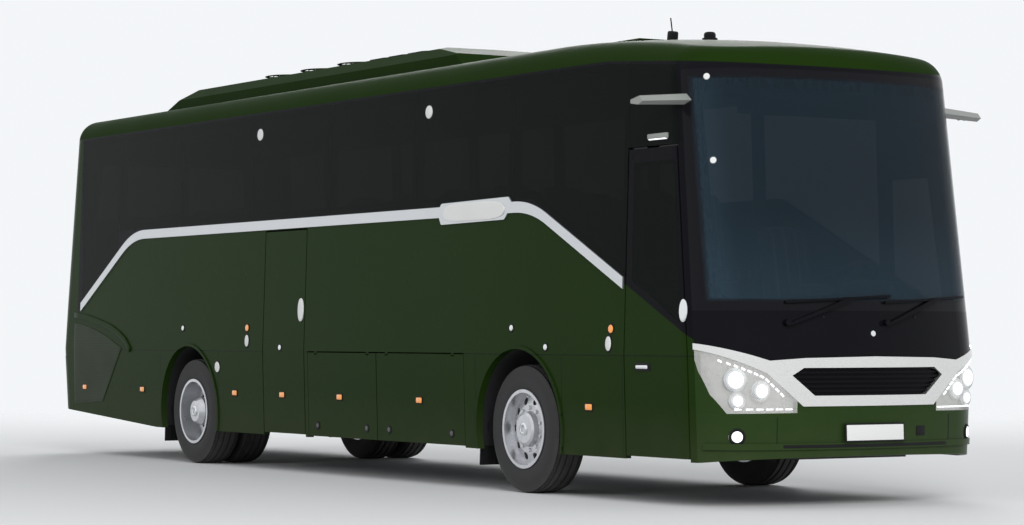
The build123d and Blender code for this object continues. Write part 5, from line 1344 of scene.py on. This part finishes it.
class COACH_OT_seats(bpy.types.Operator):
    """Padded seats for the passengers and the driver"""

    bl_idname = "coach.seats"
    bl_label = "Seats"

    WIDTH = 0.440
    RAKE = math.radians(-10)
    ROW_START = 2.950
    ROW_PITCH = 0.820
    SEAT_SHIFT = 0.2345
    VOXEL = 0.013
    PAD_FACES = 620
    PRESSURE = 4.0
    LAST_FRAME = 20
    CHANNEL_DEPTH = 0.010
    CHANNEL_WIDTH = 0.011
    FILL = 0.8

    def reach(self, pad, halves):
        """Stretches a pad about its middle to these half sizes."""
        for axis, half in enumerate(halves):
            reach = max(abs(vertex.co[axis]) for vertex in pad.data.vertices)
            for vertex in pad.data.vertices:
                vertex.co[axis] *= half / reach

    def cushion(self, middle, size, turn, cap, channels):
        """A crowned pad: a rounded block swollen as cloth, then sewn channels and fewer faces."""
        deselect()
        bpy.ops.mesh.primitive_cube_add(size=1, location=(0, 0, 0), scale=[span - 1.2 * cap for span in size])
        pad = apply_place(bpy.context.object)
        bpy.ops.object.mode_set(mode="EDIT")
        bpy.ops.mesh.select_all(action="SELECT")
        bpy.ops.mesh.subdivide(number_cuts=3)
        bpy.ops.object.mode_set(mode="OBJECT")
        modify(pad, "SUBSURF", levels=2, render_levels=2)
        self.reach(pad, [span / 2 - 0.6 * cap for span in size])
        modify(pad, "REMESH", mode="VOXEL", voxel_size=self.VOXEL)
        self.swell(pad, cap)
        self.reach(pad, [span / 2 for span in size])
        thin = size.index(min(size))
        for vertex in pad.data.vertices:
            for x in channels:
                dip = self.CHANNEL_DEPTH * math.exp(-(((vertex.co.x - x) / self.CHANNEL_WIDTH) ** 2))
                vertex.co[thin] -= math.copysign(dip, vertex.co[thin])
        modify(pad, "DECIMATE", ratio=min(1.0, self.PAD_FACES / len(pad.data.polygons)))
        pad.rotation_euler = (turn, 0, 0)
        pad.location = middle
        return apply_place(pad)

    def swell(self, pad, cap):
        """Cloth under a little pressure and no gravity; no point moves further than the cap."""
        start = [vertex.co.copy() for vertex in pad.data.vertices]
        pick(pad)
        cloth = pad.modifiers.new("swell", "CLOTH")
        cloth.settings.use_pressure = True
        cloth.settings.uniform_pressure_force = self.PRESSURE
        cloth.settings.effector_weights.gravity = 0.0
        for step in range(1, self.LAST_FRAME + 1):
            bpy.context.scene.frame_set(step)
        bpy.ops.object.modifier_apply(modifier="swell")
        bpy.context.scene.frame_set(1)
        for vertex, first in zip(pad.data.vertices, start):
            move = vertex.co - first
            if move.length > cap:
                vertex.co = first + move.normalized() * cap

    def seat_model(self):
        """Cushion, raked back and head pad of one place."""
        parts = (
            self.cushion((0.0, 0.225, 0.385), (self.WIDTH, 0.45, 0.125), 0.0, 0.016, (-0.125, 0.125)),
            self.cushion((0.0, 0.515, 0.760), (self.WIDTH, 0.110, 0.640), self.RAKE, 0.014, (-0.130, 0.130)),
            self.cushion((0.0, 0.575, 1.020), (self.WIDTH - 0.110, 0.095, 0.170), self.RAKE, 0.012, ()),
        )
        return join(parts, "seat_model")

    def execute(self, context):
        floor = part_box("passenger_floor")[1].z
        model = self.seat_model()
        rows = {}
        for vertex in frame["nodes"]["seat_bases"].data.vertices:
            side = 1 if vertex.co.x > 0 else -1
            row = round((vertex.co.y - at(self.ROW_START)) // self.ROW_PITCH)
            rows.setdefault((side, row), []).append(vertex.co)
        for (side, row), corners in sorted(rows.items()):
            low = min(corner.y for corner in corners) - 0.090
            middle = (min(corner.x for corner in corners) + max(corner.x for corner in corners)) / 2
            pair = [
                duplicate(model, (middle + shift, low, floor))
                for shift in (-self.SEAT_SHIFT, self.SEAT_SHIFT)
            ]
            word = ("left" if side > 0 else "right") + "_" + str(row + 1)
            made = put("seat_pair_" + word, "fabric", *pair)
            if (side, row) == min(rows):
                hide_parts("passenger_seats")
        low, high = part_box("driver_seat")
        driver = duplicate(model, ((low.x + high.x) / 2, low.y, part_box("driver_pedestal")[0].z))
        made = put("driver_seat_padding", "fabric", driver)
        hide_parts("driver_seat")
        pick(model)
        bpy.ops.object.delete()
        return {"FINISHED"}


class COACH_PT_panel(bpy.types.Panel):
    """The coach's pieces"""

    bl_idname = "COACH_PT_panel"
    bl_label = "Coach"
    bl_space_type = "VIEW_3D"
    bl_region_type = "UI"
    bl_category = "Coach"

    def draw(self, context):
        for step in STEPS:
            self.layout.operator(step.bl_idname)


STEPS = (
    COACH_OT_stage, COACH_OT_finishes, COACH_OT_tyres, COACH_OT_fittings, COACH_OT_plates, COACH_OT_headlamps,
    COACH_OT_nose, COACH_OT_flaps, COACH_OT_tail, COACH_OT_roof, COACH_OT_cab, COACH_OT_under, COACH_OT_seats,
)
CLASSES = (CoachSizes, CoachStageSettings) + STEPS + (COACH_PT_panel,)


def register():
    for entry in CLASSES:
        bpy.utils.register_class(entry)
    bpy.types.Scene.coach_sizes = bpy.props.PointerProperty(type=CoachSizes)
    bpy.types.Scene.coach_stage = bpy.props.PointerProperty(type=CoachStageSettings)


def unregister():
    del bpy.types.Scene.coach_stage
    del bpy.types.Scene.coach_sizes
    for entry in reversed(CLASSES):
        bpy.utils.unregister_class(entry)


def main():
    register()
    bpy.ops.coach.stage()
    bpy.ops.coach.finishes()
    bpy.ops.coach.tyres()
    bpy.ops.coach.fittings()
    bpy.ops.coach.plates()
    bpy.ops.coach.headlamps()
    bpy.ops.coach.nose()
    bpy.ops.coach.flaps()
    bpy.ops.coach.tail()
    bpy.ops.coach.roof_details()
    bpy.ops.coach.cab()
    bpy.ops.coach.running_gear()
    bpy.ops.coach.seats()
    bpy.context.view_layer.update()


if __name__ == "__main__":
    main()
